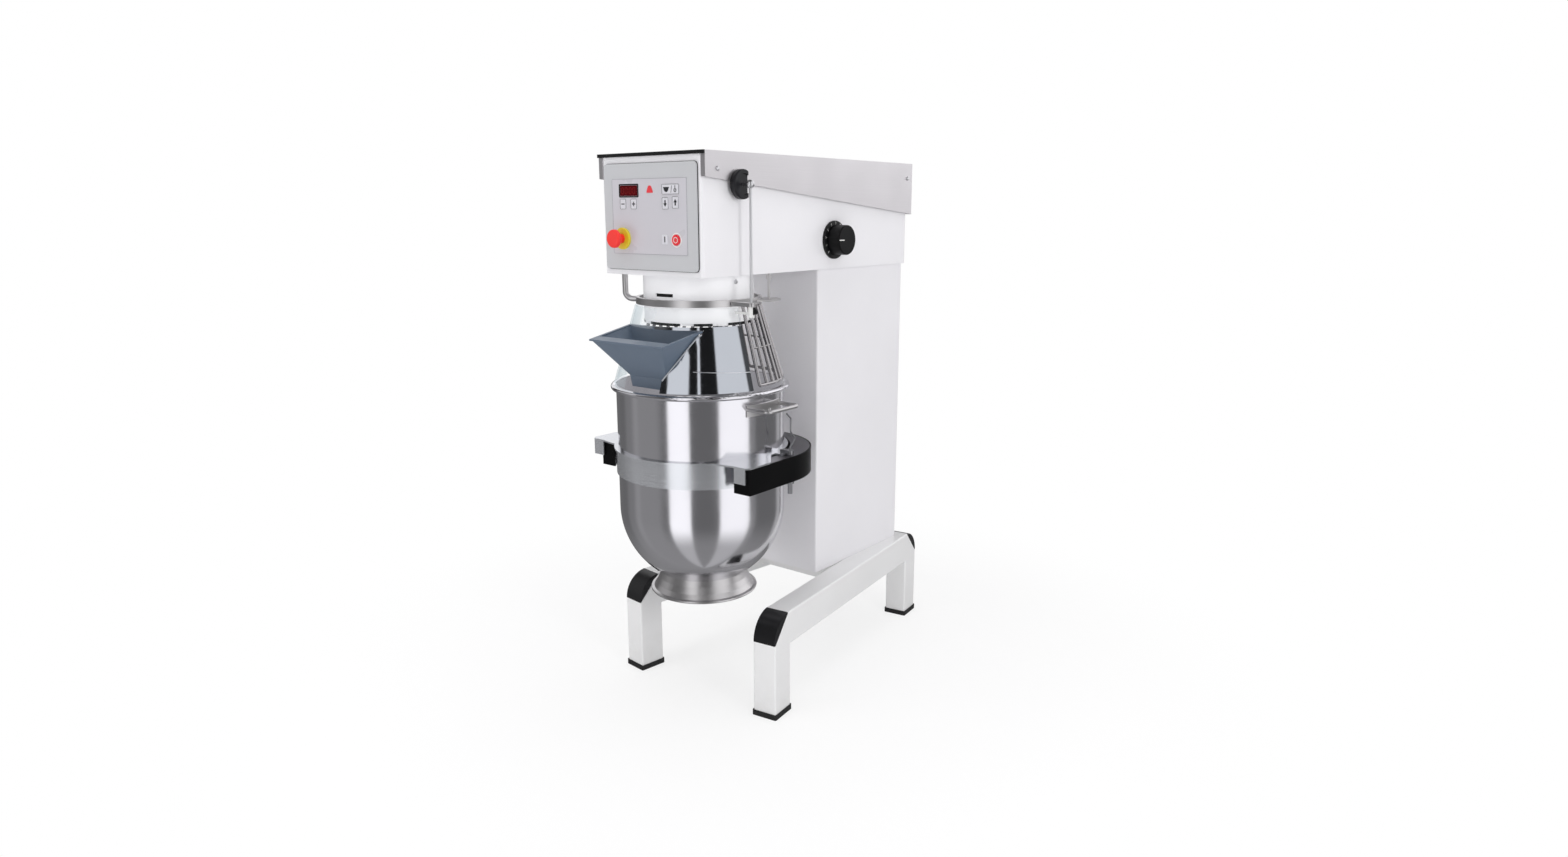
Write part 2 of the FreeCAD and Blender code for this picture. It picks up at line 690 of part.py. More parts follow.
def speed_dial():
    disc = round_right(cylinder_x(DIAL_R, HEAD_HALF, HEAD_HALF + 7, DIAL_Y, DIAL_Z), 2.0)
    return disc.cut(cylinder_x(6 + FIT, HEAD_HALF - 1, HEAD_HALF + 8, DIAL_Y, DIAL_Z))


def speed_knob():
    """A plain round knob on its shaft."""
    x0, x1 = HEAD_HALF + 7.5, HEAD_HALF + 45
    knob = round_right(cylinder_x(KNOB_R, x0, x1, DIAL_Y, DIAL_Z), 3.0)
    return knob.fuse(cylinder_x(6, 150, x0 + 1, DIAL_Y, DIAL_Z))


def speed_potentiometer():
    case = box(118, HEAD_HALF - SHEET, DIAL_Y - 22, DIAL_Y + 22, DIAL_Z - 22, DIAL_Z + 22)
    return case.cut(cylinder_x(6 + FIT, 149, HEAD_HALF, DIAL_Y, DIAL_Z))


def interlock_cover():
    """The D-shaped switch cover on the side of the head, dished on its face."""
    x0, x1 = LID_HALF + 0.2, LID_HALF + 14
    disc = round_right(cylinder_x(34, x0, x1, HINGE_Y, BALL_Z), 3.0)
    flat = box(x0 - 1, x1 + 1, HINGE_Y + 15, HINGE_Y + 40, BALL_Z - 40, BALL_Z + 40)
    dish = cylinder_x(25, x1 - 3, x1 + 1, HINGE_Y, BALL_Z)
    boss = cylinder_x(20, HEAD_HALF, x0 + 1, HINGE_Y, BALL_Z)
    return disc.cut(flat).cut(dish).fuse(boss.cut(flat))


def interlock_ball_stud():
    """A ball on a pin, bored from below for the top of the guard rod."""
    pin = cylinder_x(3.5, LID_HALF + 11, HINGE_X - 4, HINGE_Y, BALL_Z)
    ball = Part.makeSphere(BALL_R, V(HINGE_X, HINGE_Y, BALL_Z))
    return pin.fuse(ball).cut(cylinder(ROD_R + FIT, BALL_Z - 12, BALL_Z, HINGE_X, HINGE_Y))


# ---------------------------------------------------------------- planetary drive

def gear_teeth(count, root_r, tip_r, phase):
    """Straight-flank teeth, thinned so that a mesh runs free."""
    root, tip = 0.3 * math.pi * GEAR_MODULE, 0.13 * math.pi * GEAR_MODULE
    teeth = []
    for i in range(count):
        tooth = prism([(root_r, -root), (tip_r, -tip), (tip_r, tip), (root_r, root)], *GEAR_Z)
        tooth.rotate(V(), UP, phase + 360.0 * i / count)
        teeth.append(tooth)
    return teeth


def ring_gear():
    """The fixed internal gear inside the hub casting."""
    pitch = GEAR_MODULE * RING_TEETH / 2
    root, tip = pitch + 1.2 * GEAR_MODULE, pitch - 0.8 * GEAR_MODULE
    rim = cylinder(HUB_R - 7, *GEAR_Z).cut(cylinder(root, *GEAR_Z))
    return fuse([rim] + gear_teeth(RING_TEETH, root + 0.5, tip, 0))


def planet_pinion():
    pitch = GEAR_MODULE * PINION_TEETH / 2
    root, tip = pitch - 1.2 * GEAR_MODULE, pitch + 0.8 * GEAR_MODULE
    teeth = gear_teeth(PINION_TEETH, root - 0.5, tip, 180.0 / PINION_TEETH)
    gear = fuse([cylinder(root, *GEAR_Z)] + teeth)
    gear.translate(V(OFFSET, 0, 0))
    return gear


def planetary_housing():
    """The hub casting under the head, closed above and open below."""
    z0 = RING_Z[0] + 2
    r, z1, web = HUB_R - 7, HEAD_BOTTOM, HEAD_BOTTOM - 10
    shell = turned([(60, web), (r, web), (r, z0), (HUB_R, z0), (HUB_R, z1), (60, z1)])
    slot = turned([(r + 4, 1060), (HUB_R + 1, 1060), (HUB_R + 1, 1068), (r + 4, 1068)], -6, 16)
    return shell.cut(slot)


def planet_head():
    """The turning carrier: a dished casting with notches round its lower edge and a bored boss."""
    z0, z1 = PLANET_Z
    r = HUB_R - 1
    disc = turned([
        (r, z0), (r, z1), (r - 7, z1), (r - 7, z0 + 20), (40, z0 + 20), (40, z1), (0, z1),
        (0, z0 + 8), (r - 40, z0 + 8), (r - 40, z0),
    ])
    boss = cylinder(34, z0 + 2, z1, OFFSET, 0)
    edge = [(r - 7, z0 - 1), (r + 1, z0 - 1), (r + 1, z0 + 6), (r - 7, z0 + 6)]
    notches = [turned(edge, azimuth, azimuth + 14) for azimuth in range(0, 360, 24)]
    bore = cylinder(AGITATOR_R + FIT, z0, z1 + 1, OFFSET, 0)
    return fuse([disc, boss]).cut(group(notches)).cut(bore)


def main_shaft():
    return cylinder(MAIN_SHAFT_R, PLANET_Z[1], PULLEY_Z[1] + 5)


def pulley(groove_r, bore_r, x, y):
    z0, z1 = PULLEY_Z
    flanges = [cylinder(groove_r + 8, z, z + 4, x, y) for z in (z0, z1 - 4)]
    return fuse([cylinder(groove_r, z0, z1, x, y)] + flanges).cut(cylinder(bore_r, z0 - 1, z1 + 1, x, y))


def belt_loop(r1, r2, z0, z1):
    """The area inside an open belt run round two pulleys."""
    lean = math.asin((r1 - r2) / MOTOR_Y)
    c, s = math.cos(lean), math.sin(lean)
    a, b = (r1 * c, r1 * s), (r2 * c, MOTOR_Y + r2 * s)
    sides = prism([(-a[0], a[1]), a, b, (-b[0], b[1])], z0, z1)
    return fuse([cylinder(r1, z0, z1), cylinder(r2, z0, z1, 0, MOTOR_Y), sides])


def drive_belt():
    z0, z1 = PULLEY_Z[0] + 6, PULLEY_Z[1] - 6
    gap = 0.1
    outer = belt_loop(MAIN_PULLEY_R + 6, MOTOR_PULLEY_R + 6, z0, z1)
    return outer.cut(belt_loop(MAIN_PULLEY_R + gap, MOTOR_PULLEY_R + gap, z0 - 1, z1 + 1))


def bearing_housing():
    z0 = HEAD_BOTTOM + SHEET
    flange = cylinder(110, z0, z0 + 10)
    tube = cylinder(62, z0, 1290)
    return fuse([flange, tube]).cut(cylinder(52, z0 - 1, 1291))


def main_bearings():
    """Two ball bearings, each drawn as one ring."""
    rings = []
    for z in (1124, 1266):
        rings.append(cylinder(52, z, z + 20).cut(cylinder(MAIN_SHAFT_R + FIT, z - 1, z + 21)))
    return group(rings)


def agitator_shaft():
    """The tool shaft, with the planet pinion cut on its upper end."""
    return cylinder(AGITATOR_R, 900, GEAR_Z[1] + 5, OFFSET, 0).fuse(planet_pinion())


def beater_half_width(z):
    """The beater follows the bowl wall at a steady gap, then tapers up to its socket."""
    reach = BOWL_R - BOWL_WALL - 12 - OFFSET
    if z < BOWL_CENTRE_Z:
        wall = math.sqrt((BOWL_R - BOWL_WALL) ** 2 - (BOWL_CENTRE_Z - z) ** 2)
        return wall - 12 - OFFSET
    if z > 640:
        return reach - (reach - 24) * (z - 640) / 240.0
    return reach


def beater():
    """A flat beater: an outer frame, a centre stem and cross bars."""
    heights = [338, 350, 370, 395, 425, 460, 500, 560, 640, 880]
    right = [(beater_half_width(z), z) for z in heights]
    outline = right + [(-x, z) for x, z in reversed(right)]
    blade = prism_y(outline, -8, 8)
    openings = []
    for z0, z1 in ((362, 430), (448, 540), (558, 650), (668, 790)):
        lower = max(beater_half_width(z0) - 22, 12)
        upper = max(beater_half_width(z1) - 22, 12)
        openings.append(prism_y([(9, z0), (lower, z0), (upper, z1), (9, z1)], -9, 9))
    blade = blade.cut(group(s for o in openings for s in both_sides(o)))
    socket = cylinder(28, 868, 950).cut(cylinder(AGITATOR_R, 900, 951))
    tool = blade.cut(cylinder(AGITATOR_R, 900, 951)).fuse(socket)
    tool.translate(V(OFFSET, 0, 0))
    return tool


def drive_motor():
    """The vertical drive motor, with a finned case and a foot flange."""
    z0, z1 = HEAD_BOTTOM + SHEET, 1290
    foot = rounded_box(-95, 95, MOTOR_Y - 95, MOTOR_Y + 95, z0, z0 + 10, 12)
    case = cylinder(76, z0, z1, 0, MOTOR_Y)
    fins = []
    for i in range(24):
        fin = box(70, 86, -1.5, 1.5, z0 + 20, z1 - 20)
        fin.rotate(V(), UP, 15.0 * i)
        fin.translate(V(0, MOTOR_Y, 0))
        fins.append(fin)
    return fuse([foot, case] + fins).cut(cylinder(12 + FIT, 1196, z1 + 1, 0, MOTOR_Y))


def motor_rotor():
    """The motor shaft with its belt pulley."""
    shaft = cylinder(12, 1200, PULLEY_Z[1] + 2, 0, MOTOR_Y)
    return shaft.fuse(pulley(MOTOR_PULLEY_R, 11, 0, MOTOR_Y))


def frequency_inverter():
    """The motor drive, on the right wall inside the column."""
    case = rounded_box(85, COLUMN_HALF - SHEET, 480, 620, 700, 920, 4)
    grooves = [box(84, 88, 490 + 16 * i, 494 + 16 * i, 720, 900) for i in range(8)]
    return case.cut(group(grooves))


def power_cable():
    """A gland at the back of the column and the cable that leaves it."""
    x, y, z = CABLE_X, COLUMN_REAR, CABLE_Z
    gland = cylinder_y(10, y - SHEET, y, x, z)
    nut = cylinder_y(14, y, y + 16, x, z)
    cable = bent_rod([(x, y + 8, z), (x, y + 57, z), (x, y + 57, 10), (x, y + 90, 10)], 6, 28)
    return fuse([gland, nut, cable])


# ---------------------------------------------------------------- bowl guard

def guard_ring():
    """The fixed ring under the head, with its hangers and the hinge bracket."""
    z0, z1 = RING_Z
    ring = turned([(RING_R[0], z0), (RING_R[1], z0), (RING_R[1], z1), (RING_R[0], z1)])
    hanger = bent_rod([(-150, -107, HEAD_BOTTOM), (-150, -107, 1047), (-116, -88, 1046)], 7, 18)
    plate = cylinder(11, HEAD_BOTTOM - 4, HEAD_BOTTOM, -150, -107)
    ears = []
    for side in (1, -1):
        ear = prism([(110, 104), (150, 44), (182, 62), (166, 118), (140, 128)], 1044, 1049)
        rod = cylinder(3.5, 1049, HEAD_BOTTOM, 151, 90)
        nut = cylinder(6.5, 1096, 1106, 151, 90)
        ears += [s if side > 0 else mirrored(s) for s in (ear, rod, nut)]
    hinge = prism([(150, -52), (204, -52), (204, -32), (150, -32)], 1041, 1050)
    eye = cylinder(10, 1041, 1050, HINGE_X, HINGE_Y)
    body = fuse([ring, hanger, plate, hinge, eye] + ears)
    body = body.cut(cylinder(RING_R[0], z0 - 20, z1 + 30))
    return body.cut(cylinder(ROD_R + FIT, z0 - 1, z1 + 1, HINGE_X, HINGE_Y))


def guard_wires():
    """The fixed rear cage: bent wires from the ring down to a hoop over the bowl rim."""
    top_z, foot_z = RING_Z[0], GUARD_BOTTOM + 8
    top_r, foot_r = 151.0, 207.0
    shapes = [hoop(foot_r, foot_z, WIRE_R, WIRE_FROM, WIRE_TO), hoop(181.0, 938.0, 2.5, WIRE_FROM, WIRE_TO)]
    for i in range(WIRE_COUNT):
        azimuth = WIRE_FROM + (WIRE_TO - WIRE_FROM) * i / (WIRE_COUNT - 1)
        foot, top = at(azimuth, foot_r, foot_z), at(azimuth, top_r, top_z)
        run = top - foot
        top = foot + run * 1.05
        shapes.append(Part.makeCylinder(WIRE_R, (top - foot).Length, foot, run))
    cage = fuse(shapes)
    return cage.cut(box(-300, 300, -300, 300, top_z, top_z + 60))


def notch():
    """The front opening of the guard, which lets the funnel slide in from the front."""
    side = [(FUNNEL_THROAT[0], GUARD_BOTTOM - 5), (FUNNEL_THROAT[0], FUNNEL_THROAT[3])]
    side += [(89, 920), (115, 972), (123.5, 976), (123.5, 987)]
    side = [(x + NOTCH_GAP, z) for x, z in side]
    return prism_y(side + [(-x, z) for x, z in reversed(side)], -320, -60)


def guard_shell():
    """The clear moulded cone of the guard door."""
    z0, z1 = GUARD_BOTTOM, GUARD_TOP
    profile = []
    for z, r_in in ((z0, PLATE_T), (z1, PLATE_T), (z1, PLATE_T + CLEAR_T), (z0, PLATE_T + CLEAR_T)):
        profile.append((guard_r(z) - r_in, z))
    return turned(profile, GUARD_LEFT, GUARD_RIGHT).cut(notch())


def guard_plate():
    """The polished plate over the right of the door."""
    z0, z1 = GUARD_BOTTOM, PLATE_TOP
    r0, r1 = guard_r(z0), guard_r(z1)
    profile = [(r0 - PLATE_T, z0), (r0, z0), (r1, z1), (r1 - PLATE_T, z1)]
    return turned(profile, 5, GUARD_RIGHT).cut(notch())


def guard_hinge_block():
    """The moulded hinge block that carries the door on the rod."""
    knuckle = cylinder(7.5, 1016, RING_Z[0] + 2.8, HINGE_X, HINGE_Y)
    arm = prism([(146, -45), (204, -45), (204, -39), (146, -39)], 1022, 1028)
    cone = turned([(0, 990), (guard_r(990) - PLATE_T, 990), (guard_r(1040) - PLATE_T, 1040), (0, 1040)])
    return fuse([knuckle, arm]).cut(cone).cut(cylinder(ROD_R, 1000, 1050, HINGE_X, HINGE_Y))


def guard_rod():
    """The upright rod that turns with the guard door and works the switch in the head."""
    return cylinder(ROD_R, 1012, BALL_Z - 1, HINGE_X, HINGE_Y)


def funnel_section(spec, inset, dz=0.0):
    half, front, rear, z_front, z_rear = spec
    x = half - inset
    y0, y1 = front + inset, rear - inset
    z0, z1 = z_front + dz, z_rear + dz
    corners = [V(-x, y0, z0), V(x, y0, z0), V(x, y1, z1), V(-x, y1, z1)]
    return Part.makePolygon(corners + corners[:1])


def loft(*sections):
    return Part.makeLoft(list(sections), True, True)


def funnel():
    """An open four-sided hopper with a turned-out rim and a short outlet."""
    rim, throat, outlet, wall = FUNNEL_RIM, FUNNEL_THROAT, FUNNEL_OUTLET, FUNNEL_WALL
    hopper = loft(funnel_section(throat, 0), funnel_section(rim, 0))
    neck = loft(funnel_section(outlet, 0), funnel_section(throat, 0))
    flange = loft(funnel_section(rim, -5), funnel_section(rim, -5, 4))
    room = loft(funnel_section(throat, wall), funnel_section(rim, wall))
    mouth = loft(funnel_section(rim, wall), funnel_section(rim, wall, 5))
    chute = loft(funnel_section(outlet, wall, -1), funnel_section(throat, wall))
    return fuse([hopper, neck, flange]).cut(fuse([room, mouth, chute]))


# ---------------------------------------------------------------- the whole machine

PARTS = {
    "base_frame": base_frame,
    "corner_caps": corner_caps,
    "foot_caps": foot_caps,
    "column_shell": column_shell,
    "back_panel": back_panel,
    "guide_rods": guide_rods,
    "actuator_body": actuator_body,
    "actuator_rod": actuator_rod,
    "lift_carriage": lift_carriage,
    "bowl_yoke": bowl_yoke,
    "yoke_covers": yoke_covers,
    "right_bowl_clamp": bowl_clamp,
    "left_bowl_clamp": lambda: mirrored(bowl_clamp()),
    "bowl": bowl,
    "bowl_foot_ring": bowl_foot_ring,
    "bowl_band": bowl_band,
    "bowl_handles": bowl_handles,
    "head_housing": head_housing,
    "head_lid": head_lid,
    "lid_front_trim": lid_front_trim,
    "case_screws": case_screws,
    "control_panel": control_panel,
    "keypad_membrane": keypad_membrane,
    "display_window": display_window,
    "control_board": control_board,
    "stop_button": stop_button,
    "estop_collar": estop_collar,
    "estop_button": estop_button,
    "speed_dial": speed_dial,
    "speed_knob": speed_knob,
    "speed_potentiometer": speed_potentiometer,
    "interlock_cover": interlock_cover,
    "interlock_ball_stud": interlock_ball_stud,
    "ring_gear": ring_gear,
    "planetary_housing": planetary_housing,
    "planet_head": planet_head,
    "main_shaft": main_shaft,
    "main_pulley": lambda: pulley(MAIN_PULLEY_R, MAIN_SHAFT_R, 0, 0),
    "motor_rotor": motor_rotor,
    "drive_belt": drive_belt,
    "bearing_housing": bearing_housing,
    "main_bearings": main_bearings,
    "agitator_shaft": agitator_shaft,
    "beater": beater,
    "drive_motor": drive_motor,
    "frequency_inverter": frequency_inverter,
    "power_cable": power_cable,
    "guard_ring": guard_ring,
    "guard_wires": guard_wires,
    "guard_shell": guard_shell,
    "guard_plate": guard_plate,
    "guard_hinge_block": guard_hinge_block,
    "guard_rod": guard_rod,
    "funnel": funnel,
}
for key_name in KEYS:
    PARTS[key_name] = lambda key_name=key_name: key(key_name)

for name, make in PARTS.items():
    shape = make()
    shape.translate(V(0, -MIDDLE_Y, 0))
    shape.exportStep(f"parts/{name}.step")
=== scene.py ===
"""Looks for the floor-standing planetary mixer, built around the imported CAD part.

Metres, in the row frame: Z up, the machine faces -Y and its right side is +X. The bowl axis stands at
(0, AXIS_Y). An azimuth is counted in degrees from the front (-Y) towards the right side (+X).
"""

import json
import math

import bmesh
import bpy
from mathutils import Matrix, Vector


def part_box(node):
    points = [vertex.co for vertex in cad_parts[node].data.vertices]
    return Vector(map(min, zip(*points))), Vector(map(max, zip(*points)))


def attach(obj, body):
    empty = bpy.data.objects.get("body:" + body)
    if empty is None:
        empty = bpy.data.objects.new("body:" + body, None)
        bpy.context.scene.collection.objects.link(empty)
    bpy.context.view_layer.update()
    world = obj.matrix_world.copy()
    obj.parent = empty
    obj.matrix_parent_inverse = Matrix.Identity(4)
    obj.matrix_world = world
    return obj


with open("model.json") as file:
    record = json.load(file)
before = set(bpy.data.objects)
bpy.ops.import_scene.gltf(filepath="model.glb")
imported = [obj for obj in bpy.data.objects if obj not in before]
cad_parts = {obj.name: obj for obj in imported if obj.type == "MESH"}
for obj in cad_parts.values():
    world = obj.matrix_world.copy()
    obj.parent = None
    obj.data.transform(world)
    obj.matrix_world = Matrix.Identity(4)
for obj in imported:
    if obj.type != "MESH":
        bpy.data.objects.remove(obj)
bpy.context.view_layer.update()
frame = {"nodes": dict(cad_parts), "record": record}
NODES = frame["nodes"]
MM = 0.001
AXIS_Y = -0.282         # the bowl's upright axis
MARK_RADIUS = 0.2       # where marks that run round the bowl are true to scale


# ---------------------------------------------------------------- material helpers

class Graph:
    """Builds one material's node tree."""

    def __init__(self, name, tree=None):
        if tree is None:
            self.material = bpy.data.materials.new(name)
            self.material.use_nodes = True
            tree = self.material.node_tree
        self.tree = tree
        tree.nodes.clear()

    def put(self, socket, value):
        if isinstance(value, bpy.types.NodeSocket):
            self.tree.links.new(value, socket)
        elif isinstance(value, tuple) and len(value) == 3 and socket.type == "RGBA":
            socket.default_value = (*value, 1.0)
        else:
            socket.default_value = value

    def add(self, kind, inputs=(), **settings):
        node = self.tree.nodes.new(kind)
        for key, value in settings.items():
            setattr(node, key, value)
        for key, value in dict(inputs).items():
            self.put(node.inputs[key], value)
        return node

    def math(self, operation, a, b=0.0):
        return self.add("ShaderNodeMath", {0: a, 1: b}, operation=operation).outputs[0]

    def position(self):
        return self.add("ShaderNodeTexCoord").outputs["Object"]

    def stretch(self, vector, x, y, z):
        node = self.add("ShaderNodeVectorMath", {0: vector, 1: (x, y, z)}, operation="MULTIPLY")
        return node.outputs[0]

    def noise(self, vector, scale, detail=2.0, rough=0.5):
        inputs = {"Vector": vector, "Scale": scale, "Detail": detail, "Roughness": rough}
        return self.add("ShaderNodeTexNoise", inputs).outputs["Fac"]

    def remap(self, value, a, b, low, high, smooth=False):
        kind = "SMOOTHSTEP" if smooth else "LINEAR"
        inputs = {0: value, 1: a, 2: b, 3: low, 4: high}
        return self.add("ShaderNodeMapRange", inputs, interpolation_type=kind).outputs[0]

    def mix(self, amount, a, b, blend="MIX"):
        node = self.add("ShaderNodeMix", data_type="RGBA", blend_type=blend)
        self.put(node.inputs[0], amount)
        self.put(node.inputs[6], a)
        self.put(node.inputs[7], b)
        return node.outputs[2]

    def bump(self, height, strength, distance):
        inputs = {"Height": height, "Strength": strength, "Distance": distance}
        return self.add("ShaderNodeBump", inputs).outputs[0]

    def around(self):
        """(way round, height) about the bowl axis, for marks that run round it."""
        split = self.add("ShaderNodeSeparateXYZ", {0: self.position()})
        x, z = split.outputs[0], split.outputs[2]
        y = self.math("SUBTRACT", split.outputs[1], AXIS_Y)
        angle = self.math("ARCTAN2", x, y)
        across = self.math("MULTIPLY", angle, MARK_RADIUS)
        return self.add("ShaderNodeCombineXYZ", {0: across, 1: z, 2: 0.0}).outputs[0]

    def inward(self, level):
        """A level on faces that look towards the bowl axis, and nothing on the rest."""
        geometry = self.add("ShaderNodeNewGeometry").outputs
        from_axis = {0: geometry["Position"], 1: (0.0, AXIS_Y, 0.0)}
        place = self.add("ShaderNodeVectorMath", from_axis, operation="SUBTRACT").outputs[0]
        level_only = {0: place, 1: (1.0, 1.0, 0.0)}
        flat = self.add("ShaderNodeVectorMath", level_only, operation="MULTIPLY").outputs[0]
        pair = {0: flat, 1: geometry["Normal"]}
        facing = self.add("ShaderNodeVectorMath", pair, operation="DOT_PRODUCT").outputs["Value"]
        return self.math("MULTIPLY", self.math("LESS_THAN", facing, 0.0), level)

    def shader(self, **inputs):
        names = {key: key.replace("_", " ") for key in inputs}
        node = self.add("ShaderNodeBsdfPrincipled", {names[key]: value for key, value in inputs.items()})
        return node.outputs[0]

    def done(self, surface):
        self.add("ShaderNodeOutputMaterial", {"Surface": surface})
        return self.material


def srgb(r, g, b):
    """0 to 255 display values to linear ones."""
    return tuple((v / 255 / 12.92) if v < 10.3 else ((v / 255 + 0.055) / 1.055) ** 2.4 for v in (r, g, b))


def paint(name, colour, rough=0.33, grime=0.0, grime_top=0.2, lift=0.0):
    """Powder coat: fine orange peel, slow changes of tone, and dust low on the part. The lift value adds an
    even white emission, a painted glow that brightens the part as painted light.
    """
    g = Graph(name)
    at = g.position()
    tone = g.remap(g.noise(at, 4.0, 3.0), 0.3, 0.7, 0.965, 1.0)
    speck = g.remap(g.noise(at, 420.0, 1.0), 0.25, 0.75, 0.985, 1.0)
    shade = g.math("MULTIPLY", tone, speck)
    grey = g.add("ShaderNodeCombineColor", {0: shade, 1: shade, 2: shade}).outputs[0]
    base = g.mix(1.0, colour, grey, "MULTIPLY")
    if grime:
        z = g.add("ShaderNodeSeparateXYZ", {0: at}).outputs[2]
        low = g.remap(z, 0.0, grime_top, grime, 0.0, True)
        patch = g.math("MULTIPLY", low, g.remap(g.noise(at, 35.0, 6.0, 0.65), 0.35, 0.7, 0.0, 1.0))
        base = g.mix(patch, base, srgb(150, 142, 130))
    gloss = g.remap(g.noise(at, 14.0, 4.0), 0.3, 0.7, rough - 0.04, rough + 0.06)
    peel = g.bump(g.noise(at, 950.0, 2.0), 0.10, 0.0004)
    # Painted light: the emission below is a painted glow that lifts the part's brightness; it is no lamp.
    return g.done(g.shader(Base_Color=base, Roughness=gloss, Normal=peel, Coat_Weight=0.25, Coat_Roughness=0.12,
                           Emission_Color=(1.0, 1.0, 1.0), Emission_Strength=lift))


def brushed(name, colour, rough, way, grain=0.16, depth=0.10, scratches=0.3, metal=1.0,
            painted_inner_glow=0.0):
    """Steel with hair lines along one way: x, y, z or round the bowl axis. The last argument adds a painted
    glow, painted light, on faces that look towards the bowl axis.
    """
    g = Graph(name)
    if way == "round":
        at = g.around()
        hair = g.stretch(at, 6.0, 3400.0, 1.0)
        wide = g.stretch(at, 1.5, 700.0, 1.0)
        cloud_at = at
    else:
        at = cloud_at = g.position()
        axes = "xyz".index(way)
        fine, broad = [3400.0] * 3, [700.0] * 3
        fine[axes], broad[axes] = 6.0, 1.5
        hair, wide = g.stretch(at, *fine), g.stretch(at, *broad)
    lines = g.noise(hair, 1.0, 3.0, 0.6)
    bands = g.noise(wide, 1.0, 2.0, 0.5)
    clouds = g.noise(cloud_at, 9.0, 3.0)
    mixed = g.math("ADD", g.math("MULTIPLY", lines, 0.8), g.math("MULTIPLY", bands, 0.2))
    tone = g.remap(mixed, 0.3, 0.7, 1.0 - grain, 1.0)
    grey = g.add("ShaderNodeCombineColor", {0: tone, 1: tone, 2: tone}).outputs[0]
    base = g.mix(1.0, colour, grey, "MULTIPLY")
    gloss = g.math("ADD", g.remap(mixed, 0.3, 0.7, rough - 0.05, rough + 0.07),
                   g.remap(clouds, 0.3, 0.7, -0.02, 0.03))
    scratch_at = g.stretch(g.position(), 60.0, 75.0, 420.0)
    scratch = g.remap(g.noise(scratch_at, 1.6, 1.0), 0.70, 0.74, 0.0, scratches)
    height = g.math("SUBTRACT", mixed, scratch)
    normal = g.bump(height, depth, 0.0003)
    # Painted light: an emission on faces that look towards the bowl axis brightens the inside of the bowl.
    return g.done(g.shader(Base_Color=base, Metallic=metal, Roughness=gloss, Normal=normal,
                           Emission_Color=(0.98, 0.98, 1.0), Emission_Strength=g.inward(painted_inner_glow)))


def polished(name, colour, rough=0.09, smear=0.04, tint=None):
    """Bright steel with faint polishing swirls and finger smears."""
    g = Graph(name)
    at = g.position()
    smears = g.noise(at, 22.0, 5.0, 0.6)
    swirl = g.noise(g.stretch(at, 500.0, 500.0, 60.0), 1.0, 2.0)
    base = g.mix(g.remap(smears, 0.45, 0.75, 0.0, 0.12), colour, tint or srgb(190, 192, 196))
    gloss = g.math("ADD", g.remap(smears, 0.35, 0.7, rough, rough + smear), g.remap(swirl, 0.3, 0.7, 0.0, 0.03))
    normal = g.bump(swirl, 0.015, 0.0004)
    return g.done(g.shader(Base_Color=base, Metallic=1.0, Roughness=gloss, Normal=normal))


def plastic(name, colour, rough=0.42, grain=700.0, depth=0.12, mottle=0.12, light=None, shine=0.5, **extra):
    """Moulded plastic: a fine spark-eroded grain, slight flow marks and worn, paler patches."""
    g = Graph(name)
    at = g.position()
    cells = g.noise(at, grain, 3.0, 0.6)
    flow = g.noise(at, 11.0, 3.0)
    worn = g.remap(g.noise(at, 60.0, 6.0, 0.7), 0.55, 0.8, 0.0, mottle)
    paler = light or tuple(min(1.0, c * 1.5 + 0.02) for c in colour)
    base = g.mix(worn, colour, paler)
    gloss = g.remap(flow, 0.3, 0.7, rough - 0.05, rough + 0.07)
    normal = g.bump(cells, depth, 0.0004)
    return g.done(g.shader(Base_Color=base, Roughness=gloss, Normal=normal, Specular_IOR_Level=shine, **extra))


def rubber(name, colour=srgb(26, 26, 27)):
    g = Graph(name)
    at = g.position()
    dust = g.remap(g.noise(at, 90.0, 6.0, 0.7), 0.5, 0.8, 0.0, 0.35)
    base = g.mix(dust, colour, srgb(82, 79, 74))
    normal = g.bump(g.noise(at, 600.0, 4.0, 0.7), 0.25, 0.0006)
    return g.done(g.shader(Base_Color=base, Roughness=0.75, Normal=normal))


def cast(name, colour, rough=0.5, metallic=0.0):
    """Sand-cast or machined grey metal, painted or bare."""
    g = Graph(name)
    at = g.position()
    lumps = g.noise(at, 180.0, 5.0, 0.6)
    oil = g.remap(g.noise(at, 16.0, 4.0), 0.4, 0.7, 0.0, 0.35)
    base = g.mix(oil, colour, tuple(c * 0.55 for c in colour))
    gloss = g.remap(lumps, 0.3, 0.7, rough - 0.08, rough + 0.1)
    normal = g.bump(lumps, 0.25, 0.0008)
    return g.done(g.shader(Base_Color=base, Metallic=metallic, Roughness=gloss, Normal=normal))


def clear(name):
    """Clear moulded plastic: see-through, a little blue at grazing angles, with fine cleaning marks."""
    g = Graph(name)
    at = g.position()
    marks = g.noise(g.stretch(at, 90.0, 90.0, 14.0), 1.0, 5.0, 0.65)
    facing = g.add("ShaderNodeLayerWeight", {"Blend": 0.25}).outputs["Facing"]
    see = g.add("ShaderNodeBsdfTransparent", {"Color": g.mix(facing, srgb(255, 255, 255), srgb(242, 247, 249))})
    normal = g.bump(marks, 0.02, 0.0006)
    skin = g.shader(Base_Color=srgb(236, 242, 246), Roughness=g.remap(marks, 0.3, 0.75, 0.05, 0.16),
                    Normal=normal, IOR=1.49)
    film = g.add("ShaderNodeFresnel", {"IOR": 1.40}).outputs[0]
    haze = g.math("ADD", g.math("MULTIPLY", film, 0.2), g.remap(marks, 0.45, 0.8, 0.0, 0.03))
    mixed = g.add("ShaderNodeMixShader", {0: haze, 1: see.outputs[0], 2: skin})
    return g.done(mixed.outputs[0])


